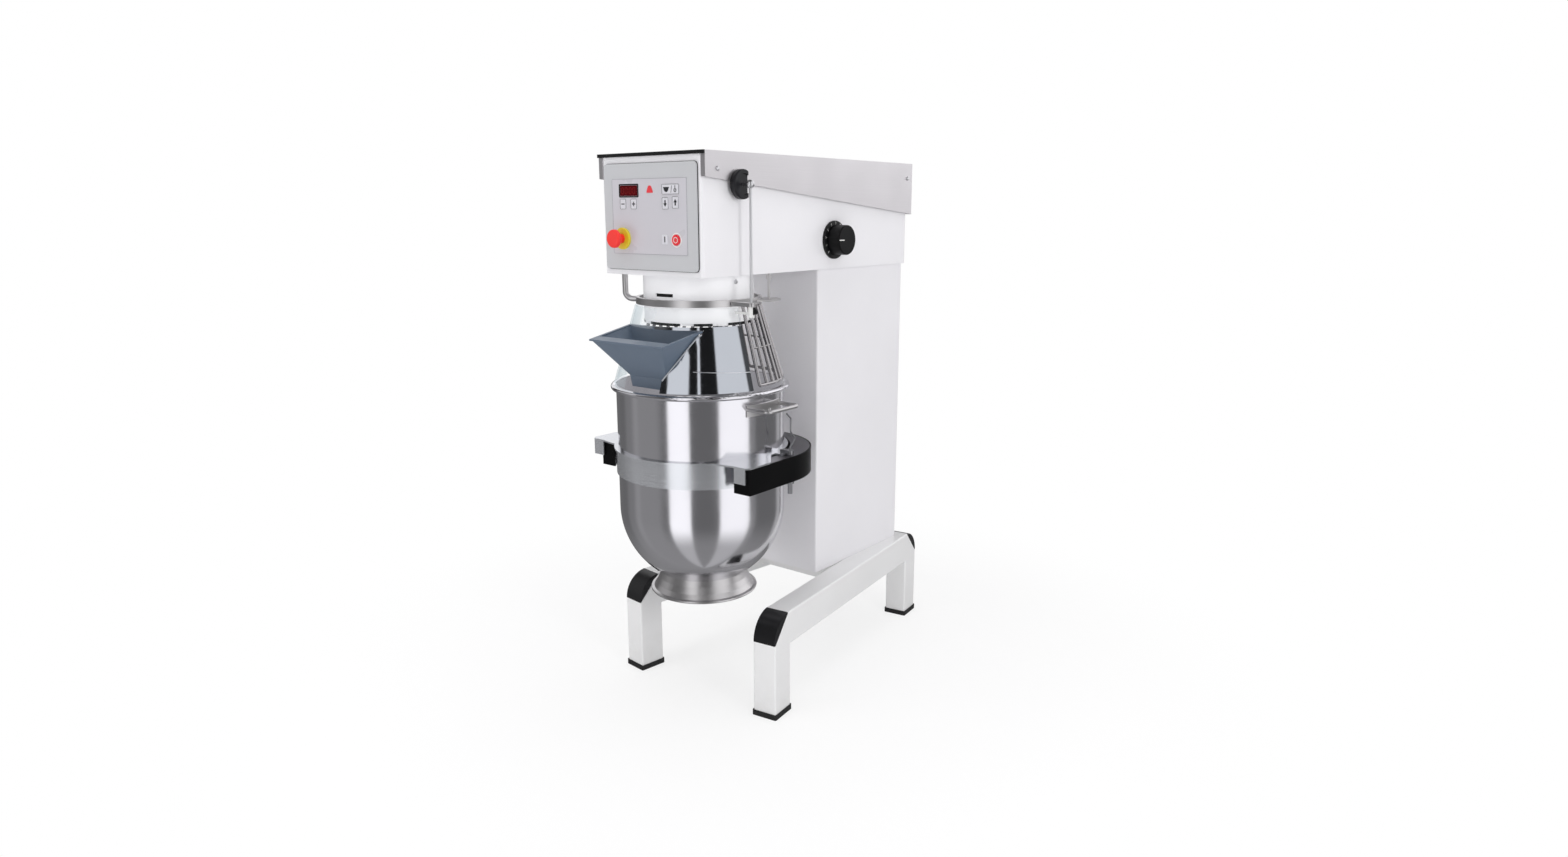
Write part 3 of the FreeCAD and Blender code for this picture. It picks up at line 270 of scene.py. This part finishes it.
def glow(name, colour, strength, base=(0.02, 0.0, 0.0)):
    """A lit segment or lamp behind a dark window."""
    g = Graph(name)
    at = g.position()
    flicker = g.remap(g.noise(at, 300.0, 2.0), 0.3, 0.7, strength * 0.8, strength)
    surface = g.shader(Base_Color=base, Roughness=0.25, Emission_Color=colour, Emission_Strength=flicker)
    return g.done(surface)


def board(name):
    """Green solder mask with a copper track pattern under it."""
    g = Graph(name)
    at = g.position()
    tracks = g.add("ShaderNodeTexBrick", {"Vector": at, "Scale": 60.0, "Mortar Size": 0.03}).outputs["Fac"]
    base = g.mix(tracks, srgb(18, 84, 46), srgb(40, 120, 66))
    normal = g.bump(tracks, 0.2, 0.0003)
    return g.done(g.shader(Base_Color=base, Roughness=0.35, Normal=normal))


# ---------------------------------------------------------------- materials

WHITE = srgb(241, 240, 243)
MATERIALS = {
    "white_paint": paint("white_paint", srgb(238, 238, 238), 0.34, 0.08, 0.16),
    "column_paint": paint("column_paint", WHITE, 0.36),
    "head_paint": paint("head_paint", WHITE, 0.33),
    # The hub casting gets a faint painted glow, painted light that brightens it in the shade under the head.
    "casting_paint": paint("casting_paint", srgb(246, 246, 248), 0.30, lift=0.07),
    "yoke_steel": brushed("yoke_steel", srgb(116, 114, 119), 0.34, "x", 0.10, 0.06),
    "lid_steel": brushed("lid_steel", srgb(232, 229, 231), 0.36, "y", 0.08, 0.05),
    # The bowl's inner faces get a faint painted glow, painted light that brightens its inside.
    "bowl_steel": brushed("bowl_steel", srgb(226, 225, 229), 0.13, "round", 0.06, 0.03, 0.15, painted_inner_glow=0.09),
    "band_steel": brushed("band_steel", srgb(222, 224, 228), 0.20, "round", 0.04, 0.01, 0.1, 0.85),
    "polished_steel": polished("polished_steel", srgb(206, 204, 204), 0.30),
    "guard_steel": polished("guard_steel", srgb(184, 188, 194), 0.045, 0.02, srgb(172, 176, 183)),
    "wire_steel": polished("wire_steel", srgb(176, 173, 174), 0.10),
    "ground_steel": brushed("ground_steel", srgb(205, 205, 208), 0.22, "z", 0.08, 0.04),
    "screw_steel": polished("screw_steel", srgb(226, 226, 228), 0.28),
    "plated_steel": polished("plated_steel", srgb(150, 150, 153), 0.30, 0.08),
    "tool_aluminium": cast("tool_aluminium", srgb(205, 206, 208), 0.36, 1.0),
    "pulley_iron": cast("pulley_iron", srgb(96, 97, 100), 0.45, 0.6),
    "motor_paint": cast("motor_paint", srgb(92, 100, 112), 0.45),
    "panel_silver": plastic("panel_silver", srgb(196, 197, 200), 0.40, 900.0, 0.08, 0.05),
    "membrane_film": plastic("membrane_film", srgb(201, 199, 205), 0.30, 1100.0, 0.05, 0.05),
    "display_glass": plastic("display_glass", srgb(78, 2, 9), 0.14, 300.0, 0.0, 0.0, srgb(90, 5, 12), 0.2),
    "key_film": plastic("key_film", srgb(216, 215, 221), 0.30, 1100.0, 0.05, 0.05),
    "stop_red": plastic("stop_red", srgb(226, 44, 52), 0.30, 900.0, 0.05, 0.1),
    "estop_red": plastic("estop_red", srgb(246, 52, 44), 0.30, 800.0, 0.06, 0.05),
    "estop_yellow": plastic("estop_yellow", srgb(226, 206, 48), 0.34, 800.0, 0.06, 0.1),
    "board_green": board("board_green"),
    "black_plastic": plastic("black_plastic", srgb(22, 22, 23), 0.44, shine=0.28),
    "dial_black": plastic("dial_black", srgb(15, 15, 16), 0.46, shine=0.28),
    "knob_black": plastic("knob_black", srgb(9, 9, 10), 0.42, mottle=0.06, shine=0.16),
    "cover_black": plastic("cover_black", srgb(5, 5, 6), 0.42, mottle=0.05, shine=0.12),
    "switch_black": plastic("switch_black", srgb(26, 26, 30), 0.34, shine=0.28),
    "cap_black": plastic("cap_black", srgb(20, 20, 22), 0.30, 500.0, 0.15, shine=0.4),
    "foot_rubber": rubber("foot_rubber"),
    "belt_rubber": rubber("belt_rubber"),
    "cable_rubber": rubber("cable_rubber", srgb(22, 22, 23)),
    "hinge_white": plastic("hinge_white", srgb(232, 232, 230), 0.36),
    "clear_shell": clear("clear_shell"),
    "funnel_grey": plastic("funnel_grey", srgb(96, 109, 125), 0.36, 500.0, 0.10, 0.10, srgb(132, 144, 158)),
}
MARK_DARK = plastic("mark_dark", srgb(40, 40, 44), 0.45, 900.0, 0.03, 0.1)
MARK_GREY = plastic("mark_grey", srgb(150, 150, 156), 0.45, 900.0, 0.03, 0.1)
MARK_WHITE = plastic("mark_white", srgb(236, 236, 234), 0.45, 900.0, 0.03, 0.1, srgb(205, 205, 200))
MARK_RED = plastic("mark_red", srgb(226, 58, 66), 0.32, 900.0, 0.03, 0.1)
SEAM_STEEL = brushed("seam_steel", srgb(232, 234, 238), 0.42, "round", 0.05, 0.03)
DIGIT_RED = glow("digit_red", srgb(190, 16, 14), 0.35)

SLOTS = {s["node"]: s["material_slot"] for s in frame["record"]["subparts"]}
for node_name, node in NODES.items():
    node.data.materials.clear()
    node.data.materials.append(MATERIALS[SLOTS[node_name]])
# The carrier inside the clear shell gets a stronger painted glow, painted light that brightens it where it sits
# in shade.
NODES["planet_head"].data.materials[0] = paint("carrier_paint_glow", srgb(246, 246, 248), 0.30, lift=0.24)


# ---------------------------------------------------------------- mesh helpers

def join(target, extra):
    """Moves one unfinished mesh into another."""
    data = bpy.data.meshes.new("extra")
    extra.to_mesh(data)
    extra.free()
    target.from_mesh(data)
    bpy.data.meshes.remove(data)


def make(name, mesh, material, body, smooth=30.0):
    """Links a finished mesh as a piece that rides on a body."""
    data = bpy.data.meshes.new(name)
    mesh.to_mesh(data)
    mesh.free()
    data.materials.append(material)
    piece = bpy.data.objects.new(name, data)
    bpy.context.scene.collection.objects.link(piece)
    data.shade_smooth()
    data.set_sharp_from_angle(angle=math.radians(smooth))
    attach(piece, body)


def plate_mesh(outlines, depth, place):
    """Flat closed shapes of (u, v) points, pushed out by depth; place(u, v, w) gives the point in the frame."""
    mesh = bmesh.new()
    for outline in outlines:
        back = [mesh.verts.new(place(u, v, 0.0)) for u, v in outline]
        front = [mesh.verts.new(place(u, v, depth)) for u, v in outline]
        count = len(outline)
        mesh.faces.new(front)
        mesh.faces.new(list(reversed(back)))
        for i in range(count):
            j = (i + 1) % count
            mesh.faces.new((back[i], back[j], front[j], front[i]))
    bmesh.ops.recalc_face_normals(mesh, faces=mesh.faces)
    return mesh


def ring_mesh(rings, place):
    """Closed bands between an outer and an inner outline of equal count, with a thickness."""
    mesh = bmesh.new()
    for outer, inner, depth in rings:
        count = len(outer)
        loops = [
            [mesh.verts.new(place(u, v, w)) for u, v in outline]
            for outline, w in ((outer, 0.0), (outer, depth), (inner, depth), (inner, 0.0))
        ]
        for a, b in zip(loops, loops[1:] + loops[:1]):
            for i in range(count):
                j = (i + 1) % count
                mesh.faces.new((a[i], a[j], b[j], b[i]))
    bmesh.ops.recalc_face_normals(mesh, faces=mesh.faces)
    return mesh


def rounded(u, v, width, height, r, steps=6):
    """A rectangle outline with rounded corners, about (u, v)."""
    points = []
    for cu, cv, start in ((1, 1, 0), (-1, 1, 90), (-1, -1, 180), (1, -1, 270)):
        for i in range(steps + 1):
            a = math.radians(start + 90.0 * i / steps)
            centre_u, centre_v = u + cu * (width / 2 - r), v + cv * (height / 2 - r)
            points.append((centre_u + r * math.cos(a), centre_v + r * math.sin(a)))
    return points


def circle(u, v, r, count=40):
    turn = 2 * math.pi / count
    return [(u + r * math.cos(i * turn), v + r * math.sin(i * turn)) for i in range(count)]


def bar(u0, v0, u1, v1, width):
    """A straight bar outline from one point to another."""
    along = Vector((u1 - u0, v1 - v0)).normalized()
    side = Vector((-along.y, along.x)) * width / 2
    ends = ((u0, v0, 1), (u0, v0, -1), (u1, v1, -1), (u1, v1, 1))
    return [(u + side.x * way, v + side.y * way) for u, v, way in ends]


def facing_front(y):
    """u runs to the machine's right and v runs up, on a plane that faces the front."""
    return lambda u, v, w: (u, y - w, v)


def facing_right(x):
    """u runs towards the back and v runs up, on a plane that faces the right side."""
    return lambda u, v, w: (x + w, u, v)


def middle(node):
    low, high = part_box(node)
    return (low + high) / 2


# ---------------------------------------------------------------- keypad

FILM = 0.25 * MM        # thickness of a printed sign
PRINT = 0.8 * FILM      # thickness of a printed frame
LAMP_X, LAMP_Z = 5 * MM, 1309 * MM


def key_face(node):
    low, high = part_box(node)
    return (low.x + high.x) / 2, (low.z + high.z) / 2, low.y, high.x - low.x - 2 * MM, high.z - low.z - 2 * MM


def key_marks(node, body, outlines, rim=True):
    """A printed sign and a thin rim on a key cap, raised by the thickness of the film."""
    u, v, face, width, height = key_face(node)
    shapes = [[(u + a * MM, v + b * MM) for a, b in outline] for outline in outlines]
    mesh = plate_mesh(shapes, FILM, facing_front(face))
    if rim:
        outer = rounded(u, v, width - 0.6 * MM, height - 0.6 * MM, 2.6 * MM)
        inner = rounded(u, v, width - 2.0 * MM, height - 2.0 * MM, 1.9 * MM)
        join(mesh, ring_mesh([(outer, inner, FILM)], facing_front(face)))
    make(node + "_sign", mesh, MARK_DARK, body)


def arrow(direction):
    head = [(-5.4, 0.0), (5.4, 0.0), (0.0, 7.6)]
    stem = [(-2.0, -7.0), (2.0, -7.0), (2.0, 0.2), (-2.0, 0.2)]
    return [[(a, b * direction) for a, b in shape][::direction] for shape in (head, stem)]


def half_bowl(u, v, r):
    points = [(u - r, v + r * 0.5), (u + r, v + r * 0.5)]
    for i in range(1, 12):
        a = math.radians(-180.0 * i / 12)
        points.append((u + r * 0.85 * math.cos(a), v + r * 0.45 + r * 1.15 * math.sin(a)))
    return points


def whisk(u, v):
    shapes = []
    for spread in (2.0, 4.2):
        left = [(u - spread * math.sin(math.pi * i / 10), v - 7 + 9.0 * i / 10) for i in range(11)]
        right = [(2 * u - a, b) for a, b in left]
        for side in (left, right):
            for a, b in zip(side, side[1:]):
                shapes.append(bar(*a, *b, 0.9))
    shapes.append(bar(u, v + 2, u, v + 8, 1.8))
    return shapes


def keypad():
    key_marks("timer_minus_key", "timer_minus", [bar(-5.2, 0, 5.2, 0, 2.4)])
    plus = [bar(-5.2, 0, 5.2, 0, 2.4), bar(0, 1.2, 0, 5.2, 2.4), bar(0, -5.2, 0, -1.2, 2.4)]
    key_marks("timer_plus_key", "timer_plus", plus)
    key_marks("bowl_down_key", "bowl_down", arrow(-1))
    key_marks("bowl_up_key", "bowl_up", arrow(1))
    divider = [bar(2.0, -8.0, 5.0, 8.0, 1.0)]
    key_marks("mode_key", "mode", [half_bowl(-13, 0, 9.5)] + divider + whisk(15, 0))
    key_marks("start_key", "start", [bar(0, -6.5, 0, 6.5, 3.0)], rim=False)
    stop = middle("stop_button")
    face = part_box("stop_button")[0].y
    outer, inner = circle(stop.x, stop.z, 6.9 * MM), circle(stop.x, stop.z, 5.5 * MM)
    make("stop_sign", ring_mesh([(outer, inner, FILM)], facing_front(face)), MARK_WHITE, "stop")


def membrane_print():
    """Printed frames on the film: its border, the display surround, and a ring round the stop button."""
    low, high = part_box("keypad_membrane")
    y = low.y
    u, v = (low.x + high.x) / 2, (low.z + high.z) / 2
    width, height = high.x - low.x, high.z - low.z
    border = (
        rounded(u, v, width - 1 * MM, height - 1 * MM, 3.0 * MM),
        rounded(u, v, width - 2.6 * MM, height - 2.6 * MM, 2.2 * MM), PRINT,
    )
    window = middle("display_window")
    glass = (
        rounded(window.x, window.z, 66 * MM, 31 * MM, 3.0 * MM),
        rounded(window.x, window.z, 59 * MM, 25 * MM, 2.0 * MM), PRINT,
    )
    stop = middle("stop_button")
    halo = (circle(stop.x, stop.z, 16.5 * MM), circle(stop.x, stop.z, 14.2 * MM), PRINT)
    make("membrane_border", ring_mesh([border], facing_front(y)), MARK_GREY, "root")
    surround = ring_mesh([glass], facing_front(y))
    make("display_surround", surround, MATERIALS["black_plastic"], "root")
    make("stop_halo", ring_mesh([halo], facing_front(y)), MARK_WHITE, "root")
    lamp = [(-10, -8), (10, -8), (9.4, -3.0), (5.0, 6.6), (2.0, 8.4), (-2.0, 8.4), (-5.0, 6.6), (-9.4, -3.0)]
    shape = [(LAMP_X + a * MM, LAMP_Z + b * MM) for a, b in lamp]
    make("indicator_lamp", plate_mesh([shape], FILM * 3, facing_front(y)), MARK_RED, "root")


# (side, level) ends of the six lit segments of a nought, in half widths
SEGMENTS = (
    ((-1, 2), (1, 2)), ((-1, -2), (1, -2)), ((-1, 0), (-1, 2)),
    ((1, 0), (1, 2)), ((-1, -2), (-1, 0)), ((1, -2), (1, 0)),
)
DIGIT_HALF = 3.4
DIGIT_SLANT = 0.25
DIGIT_PLACES = (-20.0, -8.0, 6.0, 18.0)


def display_digits():
    """Four noughts of a clock, as lit segments."""
    window = middle("display_window")
    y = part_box("display_window")[0].y
    shapes = []
    for place in DIGIT_PLACES:
        for ends in SEGMENTS:
            start, end = (Vector((u * DIGIT_HALF + DIGIT_SLANT * v, v * DIGIT_HALF)) for u, v in ends)
            trim = (end - start).normalized() * 0.7
            start, end = start + trim, end - trim
            outline = bar(start.x, start.y, end.x, end.y, 1.5)
            shapes.append([(window.x + (place + u) * MM, window.z + v * MM) for u, v in outline])
    for dz in (-3.0, 3.0):
        shapes.append(circle(window.x - 1.0 * MM, window.z + dz * MM, 0.9 * MM, 12))
    make("display_digits", plate_mesh(shapes, FILM, facing_front(y)), DIGIT_RED, "root")


# ---------------------------------------------------------------- speed dial

DIAL_START, DIAL_STEP = 225.0, 27.0             # degrees, for the numbers 0 to 10
TICK_R = (0.0395, 0.0420, 0.0448)               # ends of a tick, then the middle of its number
NUMBER_SIZE = 0.0062


def text_mesh(words, size, place):
    """A word's filled outline, made from the built-in font."""
    curve = bpy.data.curves.new("word", "FONT")
    curve.body, curve.size, curve.extrude = words, size, 0.0001
    curve.align_x, curve.align_y = "CENTER", "CENTER"
    holder = bpy.data.objects.new("word", curve)
    bpy.context.scene.collection.objects.link(holder)
    bpy.context.view_layer.update()
    data = bpy.data.meshes.new_from_object(holder.evaluated_get(bpy.context.evaluated_depsgraph_get()))
    bpy.data.objects.remove(holder)
    mesh = bmesh.new()
    mesh.from_mesh(data)
    bpy.data.meshes.remove(data)
    for vertex in mesh.verts:
        vertex.co = Vector(place(vertex.co.x, vertex.co.y, vertex.co.z + 0.0001))
    return mesh


def dial_marks():
    cy, cz, x = middle("speed_dial").y, middle("speed_dial").z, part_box("speed_dial")[1].x
    ticks = []
    numbers = bmesh.new()
    inner, outer, number_r = TICK_R
    for i in range(11):
        a = math.radians(DIAL_START - DIAL_STEP * i)
        s, c = math.cos(a), math.sin(a)
        ticks.append(bar(cy + inner * s, cz + inner * c, cy + outer * s, cz + outer * c, 0.9 * MM))
        at_y, at_z = cy + number_r * s, cz + number_r * c
        join(numbers, text_mesh(str(i), NUMBER_SIZE, lambda u, v, w: (x + w, at_y + u, at_z + v)))
    make("dial_numbers", numbers, MARK_WHITE, "root")
    make("dial_ticks", plate_mesh(ticks, 0.2 * MM, facing_right(x)), MARK_WHITE, "root")
    knob_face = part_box("speed_knob")[1].x
    index = [bar(cy - 36 * MM, cz, cy - 14 * MM, cz, 2.4 * MM)]
    make("knob_index", plate_mesh(index, FILM, facing_right(knob_face)), MARK_WHITE, "knob")


# ---------------------------------------------------------------- seams and shadow gaps

def panel_gasket():
    """A black ring round the foot of the control panel, painted shade that shows as the thin shadow line round
    the raised panel.
    """
    low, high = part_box("control_panel")
    u, v = (low.x + high.x) / 2, (low.z + high.z) / 2
    width, height = high.x - low.x, high.z - low.z
    outer = rounded(u, v, width + 2.4 * MM, height + 2.4 * MM, 10.2 * MM)
    inner = rounded(u, v, width - 1 * MM, height - 1 * MM, 8.5 * MM)
    # Painted shade: this black ring stands in for the shadow round the panel's edges.
    mesh = ring_mesh([(outer, inner, 1.6 * MM)], facing_front(high.y))
    make("panel_gasket", mesh, MATERIALS["black_plastic"], "root")


def curved_mesh(runs, thickness, radius_at):
    """Closed (azimuth, height) outlines laid on a turned surface about the bowl axis."""
    mesh = bmesh.new()
    for outline in runs:
        sheets = []
        for lift in (0.0, thickness):
            sheet = []
            for azimuth, z in outline:
                a, r = math.radians(azimuth), radius_at(z) + lift
                sheet.append(mesh.verts.new((r * math.sin(a), AXIS_Y - r * math.cos(a), z)))
            sheets.append(sheet)
        inner, outer = sheets
        half = len(outline) // 2
        for sheet in (inner, outer):
            for i in range(half - 1):
                mesh.faces.new((sheet[i], sheet[i + 1], sheet[-i - 2], sheet[-i - 1]))
        for i in range(len(outline)):
            j = (i + 1) % len(outline)
            mesh.faces.new((inner[i], inner[j], outer[j], outer[i]))
    bmesh.ops.recalc_face_normals(mesh, faces=mesh.faces)
    return mesh


def strip_outline(a0, a1, z0, z1, count):
    """A strip between two azimuths, as a lower run out and an upper run back."""
    azimuths = [a0 + (a1 - a0) * i / count for i in range(count + 1)]
    return [(a, z0) for a in azimuths] + [(a, z1) for a in reversed(azimuths)]


CONE_FOOT_Z, CONE_FOOT_R, CONE_SLOPE = 0.843, 0.218, 0.3005


def guard_radius(z):
    """The outer radius of the guard's cone at a height."""
    return CONE_FOOT_R - (z - CONE_FOOT_Z) * CONE_SLOPE


def guard_seam():
    """The folded seam across the polished plate, lower towards the hinge."""
    lower, upper = [], []
    for i in range(25):
        azimuth = 38.0 + 40.0 * i / 24
        z = 0.893 - 0.007 * i / 24
        lower.append((azimuth, z))
        upper.append((azimuth, z + 1.4 * MM))
    outline = lower + upper[::-1]
    make("guard_seam", curved_mesh([outline], 0.5 * MM, guard_radius), SEAM_STEEL, "guard_door")


def tube(path, radius, sides=10):
    """A round bead along a path of points."""
    mesh = bmesh.new()
    rings = []
    for i, point in enumerate(path):
        along = (path[min(i + 1, len(path) - 1)] - path[max(i - 1, 0)]).normalized()
        across = along.cross(Vector((0.0, 1.0, 0.0))).normalized()
        other = along.cross(across)
        turns = [2 * math.pi * k / sides for k in range(sides)]
        spokes = [across * math.cos(t) + other * math.sin(t) for t in turns]
        rings.append([mesh.verts.new(point + radius * spoke) for spoke in spokes])
    for first, second in zip(rings, rings[1:]):
        for k in range(sides):
            mesh.faces.new((first[k], first[k - 1], second[k - 1], second[k]))
    mesh.faces.new(rings[0])
    mesh.faces.new(rings[-1][::-1])
    bmesh.ops.recalc_face_normals(mesh, faces=mesh.faces)
    return mesh


def notch_bead():
    """The rolled edge of the plate beside the funnel."""
    corners = [(0.0615, 0.872), (0.0905, 0.920), (0.1165, 0.972), (0.1240, 0.978)]
    path = []
    for (x0, z0), (x1, z1) in zip(corners, corners[1:]):
        for i in range(8):
            x, z = x0 + (x1 - x0) * i / 8, z0 + (z1 - z0) * i / 8
            r = guard_radius(z)
            path.append(Vector((x + 1.6 * MM, AXIS_Y - math.sqrt(r * r - x * x), z)))
    make("notch_bead", tube(path, 1.8 * MM), SEAM_STEEL, "guard_door", 60.0)


def hinge_wing():
    """The moulded wing of the hinge block, beside its knuckle."""
    rod = middle("guard_rod")
    outline = [(0.004, 1.022), (0.016, 1.024), (0.019, 1.028), (0.019, 1.033), (0.012, 1.040), (0.004, 1.040)]
    shape = [(rod.x + u, v) for u, v in outline]
    mesh = plate_mesh([shape], 5 * MM, facing_front(rod.y + 2.5 * MM))
    make("hinge_wing", mesh, MATERIALS["black_plastic"], "guard_door")


HUB_SKIN_R = 0.1345


def hub_vent():
    """A black strip in the slot of the hub casting, painted shade that stands for the dark inside of the slot.
    """
    shade_strip = strip_outline(-5.5, 15.5, 1.0602, 1.0678, 12)
    mesh = curved_mesh([shade_strip], 0.5 * MM, lambda z: HUB_SKIN_R)
    make("hub_vent", mesh, MATERIALS["black_plastic"], "root")


def planet_slots():
    """Black strips over the long slots round the carrier's lower edge, painted shade that stands for the dark
    insides of the slots.
    """
    low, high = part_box("planet_head")
    radius = (high.x - low.x) / 2 + 0.1 * MM
    slots = []
    for quarter in range(4):
        start = -17.0 + 90.0 * quarter
        for a0, a1 in ((start, start + 40.0), (start + 54.0, start + 73.0)):
            slots.append(strip_outline(a0, a1, low.z, low.z + 6.5 * MM, 14))
    mesh = curved_mesh(slots, 0.4 * MM, lambda z: radius)
    make("planet_slots", mesh, MATERIALS["black_plastic"], "planet")


keypad()
membrane_print()
display_digits()
dial_marks()
panel_gasket()
guard_seam()
notch_bead()
hinge_wing()
hub_vent()
planet_slots()


# ---------------------------------------------------------------- rounded edges on folded and welded parts

def soften(node, width, angle=40.0, segments=3):
    bevel = NODES[node].modifiers.new("edge", "BEVEL")
    bevel.width = width
    bevel.segments = segments
    bevel.limit_method = "ANGLE"
    bevel.angle_limit = math.radians(angle)
    bevel.harden_normals = False


def smooth_all(angle=28.0):
    for node in NODES.values():
        node.data.shade_smooth()
        node.data.set_sharp_from_angle(angle=math.radians(angle))


EDGES = {
    "head_housing": 1.5, "head_lid": 0.8, "lid_front_trim": 1.0, "column_shell": 1.0, "control_panel": 1.6,
    "bowl_yoke": 1.0, "yoke_covers": 1.2, "bowl_band": 0.7, "planetary_housing": 1.5, "back_panel": 0.6,
    "foot_caps": 1.0, "lift_carriage": 1.0, "drive_motor": 1.0, "frequency_inverter": 1.5, "beater": 2.0,
    "funnel": 0.8, "guard_hinge_block": 1.0, "interlock_cover": 0.8,
}
for edge_node, edge_width in EDGES.items():
    soften(edge_node, edge_width * MM)
smooth_all()


# ---------------------------------------------------------------- floor, light and camera

def floor():
    """A wide pale sheet that the camera sees as white, save for the soft shadows under the feet."""
    mesh = bmesh.new()
    size = 30.0
    corners = [mesh.verts.new((x * size, y * size, 0.0)) for x, y in ((-1, -1), (1, -1), (1, 1), (-1, 1))]
    mesh.faces.new(corners)
    data = bpy.data.meshes.new("floor")
    mesh.to_mesh(data)
    mesh.free()
    g = Graph("floor_white")
    at = g.position()
    tone = g.remap(g.noise(at, 1.5, 3.0), 0.3, 0.7, 0.985, 1.0)
    base = g.add("ShaderNodeCombineColor", {0: tone, 1: tone, 2: tone}).outputs[0]
    matt = g.add("ShaderNodeBsdfDiffuse", {"Color": base}).outputs[0]
    bright = g.add("ShaderNodeEmission", {"Color": (1.0, 1.0, 1.0), "Strength": 1.0}).outputs[0]
    away = g.add("ShaderNodeVectorMath", {0: at}, operation="LENGTH").outputs["Value"]
    fade = g.remap(away, 0.7, 1.5, 0.72, 1.0, True)
    seen = g.add("ShaderNodeLightPath").outputs["Is Camera Ray"]
    g_mix = g.add("ShaderNodeMixShader", {0: g.math("MULTIPLY", seen, fade), 1: matt, 2: bright})
    data.materials.append(g.done(g_mix.outputs[0]))
    plane = bpy.data.objects.new("floor", data)
    bpy.context.scene.collection.objects.link(plane)
    plane.visible_glossy = False


def area_light(name, place, target, size, power, colour=(1.0, 1.0, 1.0)):
    light = bpy.data.lights.new(name, "AREA")
    light.shape = "RECTANGLE"
    light.size, light.size_y = size
    light.energy, light.color = power, colour
    holder = bpy.data.objects.new(name, light)
    holder.location = place
    holder.rotation_euler = (Vector(target) - Vector(place)).to_track_quat("-Z", "Y").to_euler()
    holder.visible_glossy = False
    bpy.context.scene.collection.objects.link(holder)


# (azimuth, half width, soft edge, brightness, lowest height) of the tall soft boxes that steel reflects
STRIPS = [
    (11.5, 15.0, 1.5, 1.16, -1.0), (88.0, 22.0, 1.5, 1.10, -1.0), (116.0, 5.0, 2.0, 0.10, -1.0),
    (150.0, 24.0, 8.0, 1.25, -0.07), (180.0, 12.0, 4.0, 0.30, -1.0), (-38.0, 24.0, 8.0, 0.13, -1.0),
    (-70.0, 20.0, 4.0, 0.40, -0.02), (-68.0, 14.0, 6.0, 0.07, -1.0), (-125.0, 18.0, 5.0, 1.0, -0.02),
    (-170.0, 12.0, 4.0, 0.8, -0.02), (40.5, 1.8, 0.8, 1.2, 0.25),
]


def studio():
    """White to the camera, an even sky to the paint, and tall soft boxes in the dark to the steel."""
    world = bpy.data.worlds.new("studio")
    bpy.context.scene.world = world
    world.use_nodes = True
    g = Graph("studio", world.node_tree)
    way = g.add("ShaderNodeTexCoord").outputs["Generated"]
    x, y, z = g.add("ShaderNodeSeparateXYZ", {0: way}).outputs
    back = g.math("MULTIPLY", y, -1.0)
    azimuth = g.math("MULTIPLY", g.math("ARCTAN2", x, back), 180.0 / math.pi)
    total = g.math("ADD", g.remap(z, -0.15, 0.10, 0.155, 0.02, True), g.remap(z, -0.80, -0.30, 0.12, 0.0, True))
    sink = g.remap(z, -0.80, -0.35, 0.22, 1.0, True)
    for centre, half, soft, level, low in STRIPS:
        away = g.math("ABSOLUTE", g.math("SUBTRACT", azimuth, centre))
        band = g.remap(away, half - soft, half + soft, level, 0.0, True)
        if low > -1.0:
            band = g.math("MULTIPLY", band, g.remap(z, low, low + 0.05, 0.0, 1.0, True))
        total = g.math("ADD", total, g.math("MULTIPLY", band, sink))
    total = g.math("MULTIPLY", total, g.remap(z, 0.75, 0.95, 1.0, 0.0, True))
    tint = {0: g.math("MULTIPLY", total, 0.98), 1: g.math("MULTIPLY", total, 0.98), 2: total}
    mirror = g.add("ShaderNodeCombineColor", tint).outputs[0]
    rays = g.add("ShaderNodeLightPath")
    sky = g.add("ShaderNodeBackground", {"Color": (0.99, 0.985, 1.0), "Strength": 0.60})
    seen = g.add("ShaderNodeBackground", {"Color": (1.0, 1.0, 1.0), "Strength": 1.0})
    shine = g.add("ShaderNodeBackground", {"Color": mirror, "Strength": 1.0})
    mirrored, direct = rays.outputs["Is Glossy Ray"], rays.outputs["Is Camera Ray"]
    first = g.add("ShaderNodeMixShader", {0: mirrored, 1: sky.outputs[0], 2: shine.outputs[0]})
    second = g.add("ShaderNodeMixShader", {0: direct, 1: first.outputs[0], 2: seen.outputs[0]})
    g.add("ShaderNodeOutputWorld", {"Surface": second.outputs[0]})


CAMERA_AT = (1.6968, -2.1121, 1.2598)
CAMERA_DOWN, CAMERA_ROUND = 12.355, 37.971      # degrees below level, and round from the front
LENS, SENSOR = 22.79, 36.0


def camera():
    data = bpy.data.cameras.new("view")
    data.sensor_width = SENSOR
    data.lens = LENS
    holder = bpy.data.objects.new("view", data)
    holder.location = CAMERA_AT
    holder.rotation_euler = (math.radians(90.0 - CAMERA_DOWN), 0.0, math.radians(CAMERA_ROUND))
    bpy.context.scene.collection.objects.link(holder)
    bpy.context.scene.camera = holder


floor()
studio()
camera()
area_light("key", (-1.2, -3.6, 2.2), (0.0, -0.1, 0.8), (2.2, 2.2), 13.0)
area_light("fill", (-1.3, -2.2, 0.7), (0.0, 0.0, 1.0), (1.0, 1.0), 7.0)
area_light("side", (4.2, -1.4, 1.9), (0.1, 0.0, 0.9), (0.9, 1.6), 46.0)
area_light("top", (0.0, -0.4, 4.2), (0.0, 0.0, 0.0), (3.0, 3.0), 54.0)

bpy.context.scene.view_settings.view_transform = "Standard"
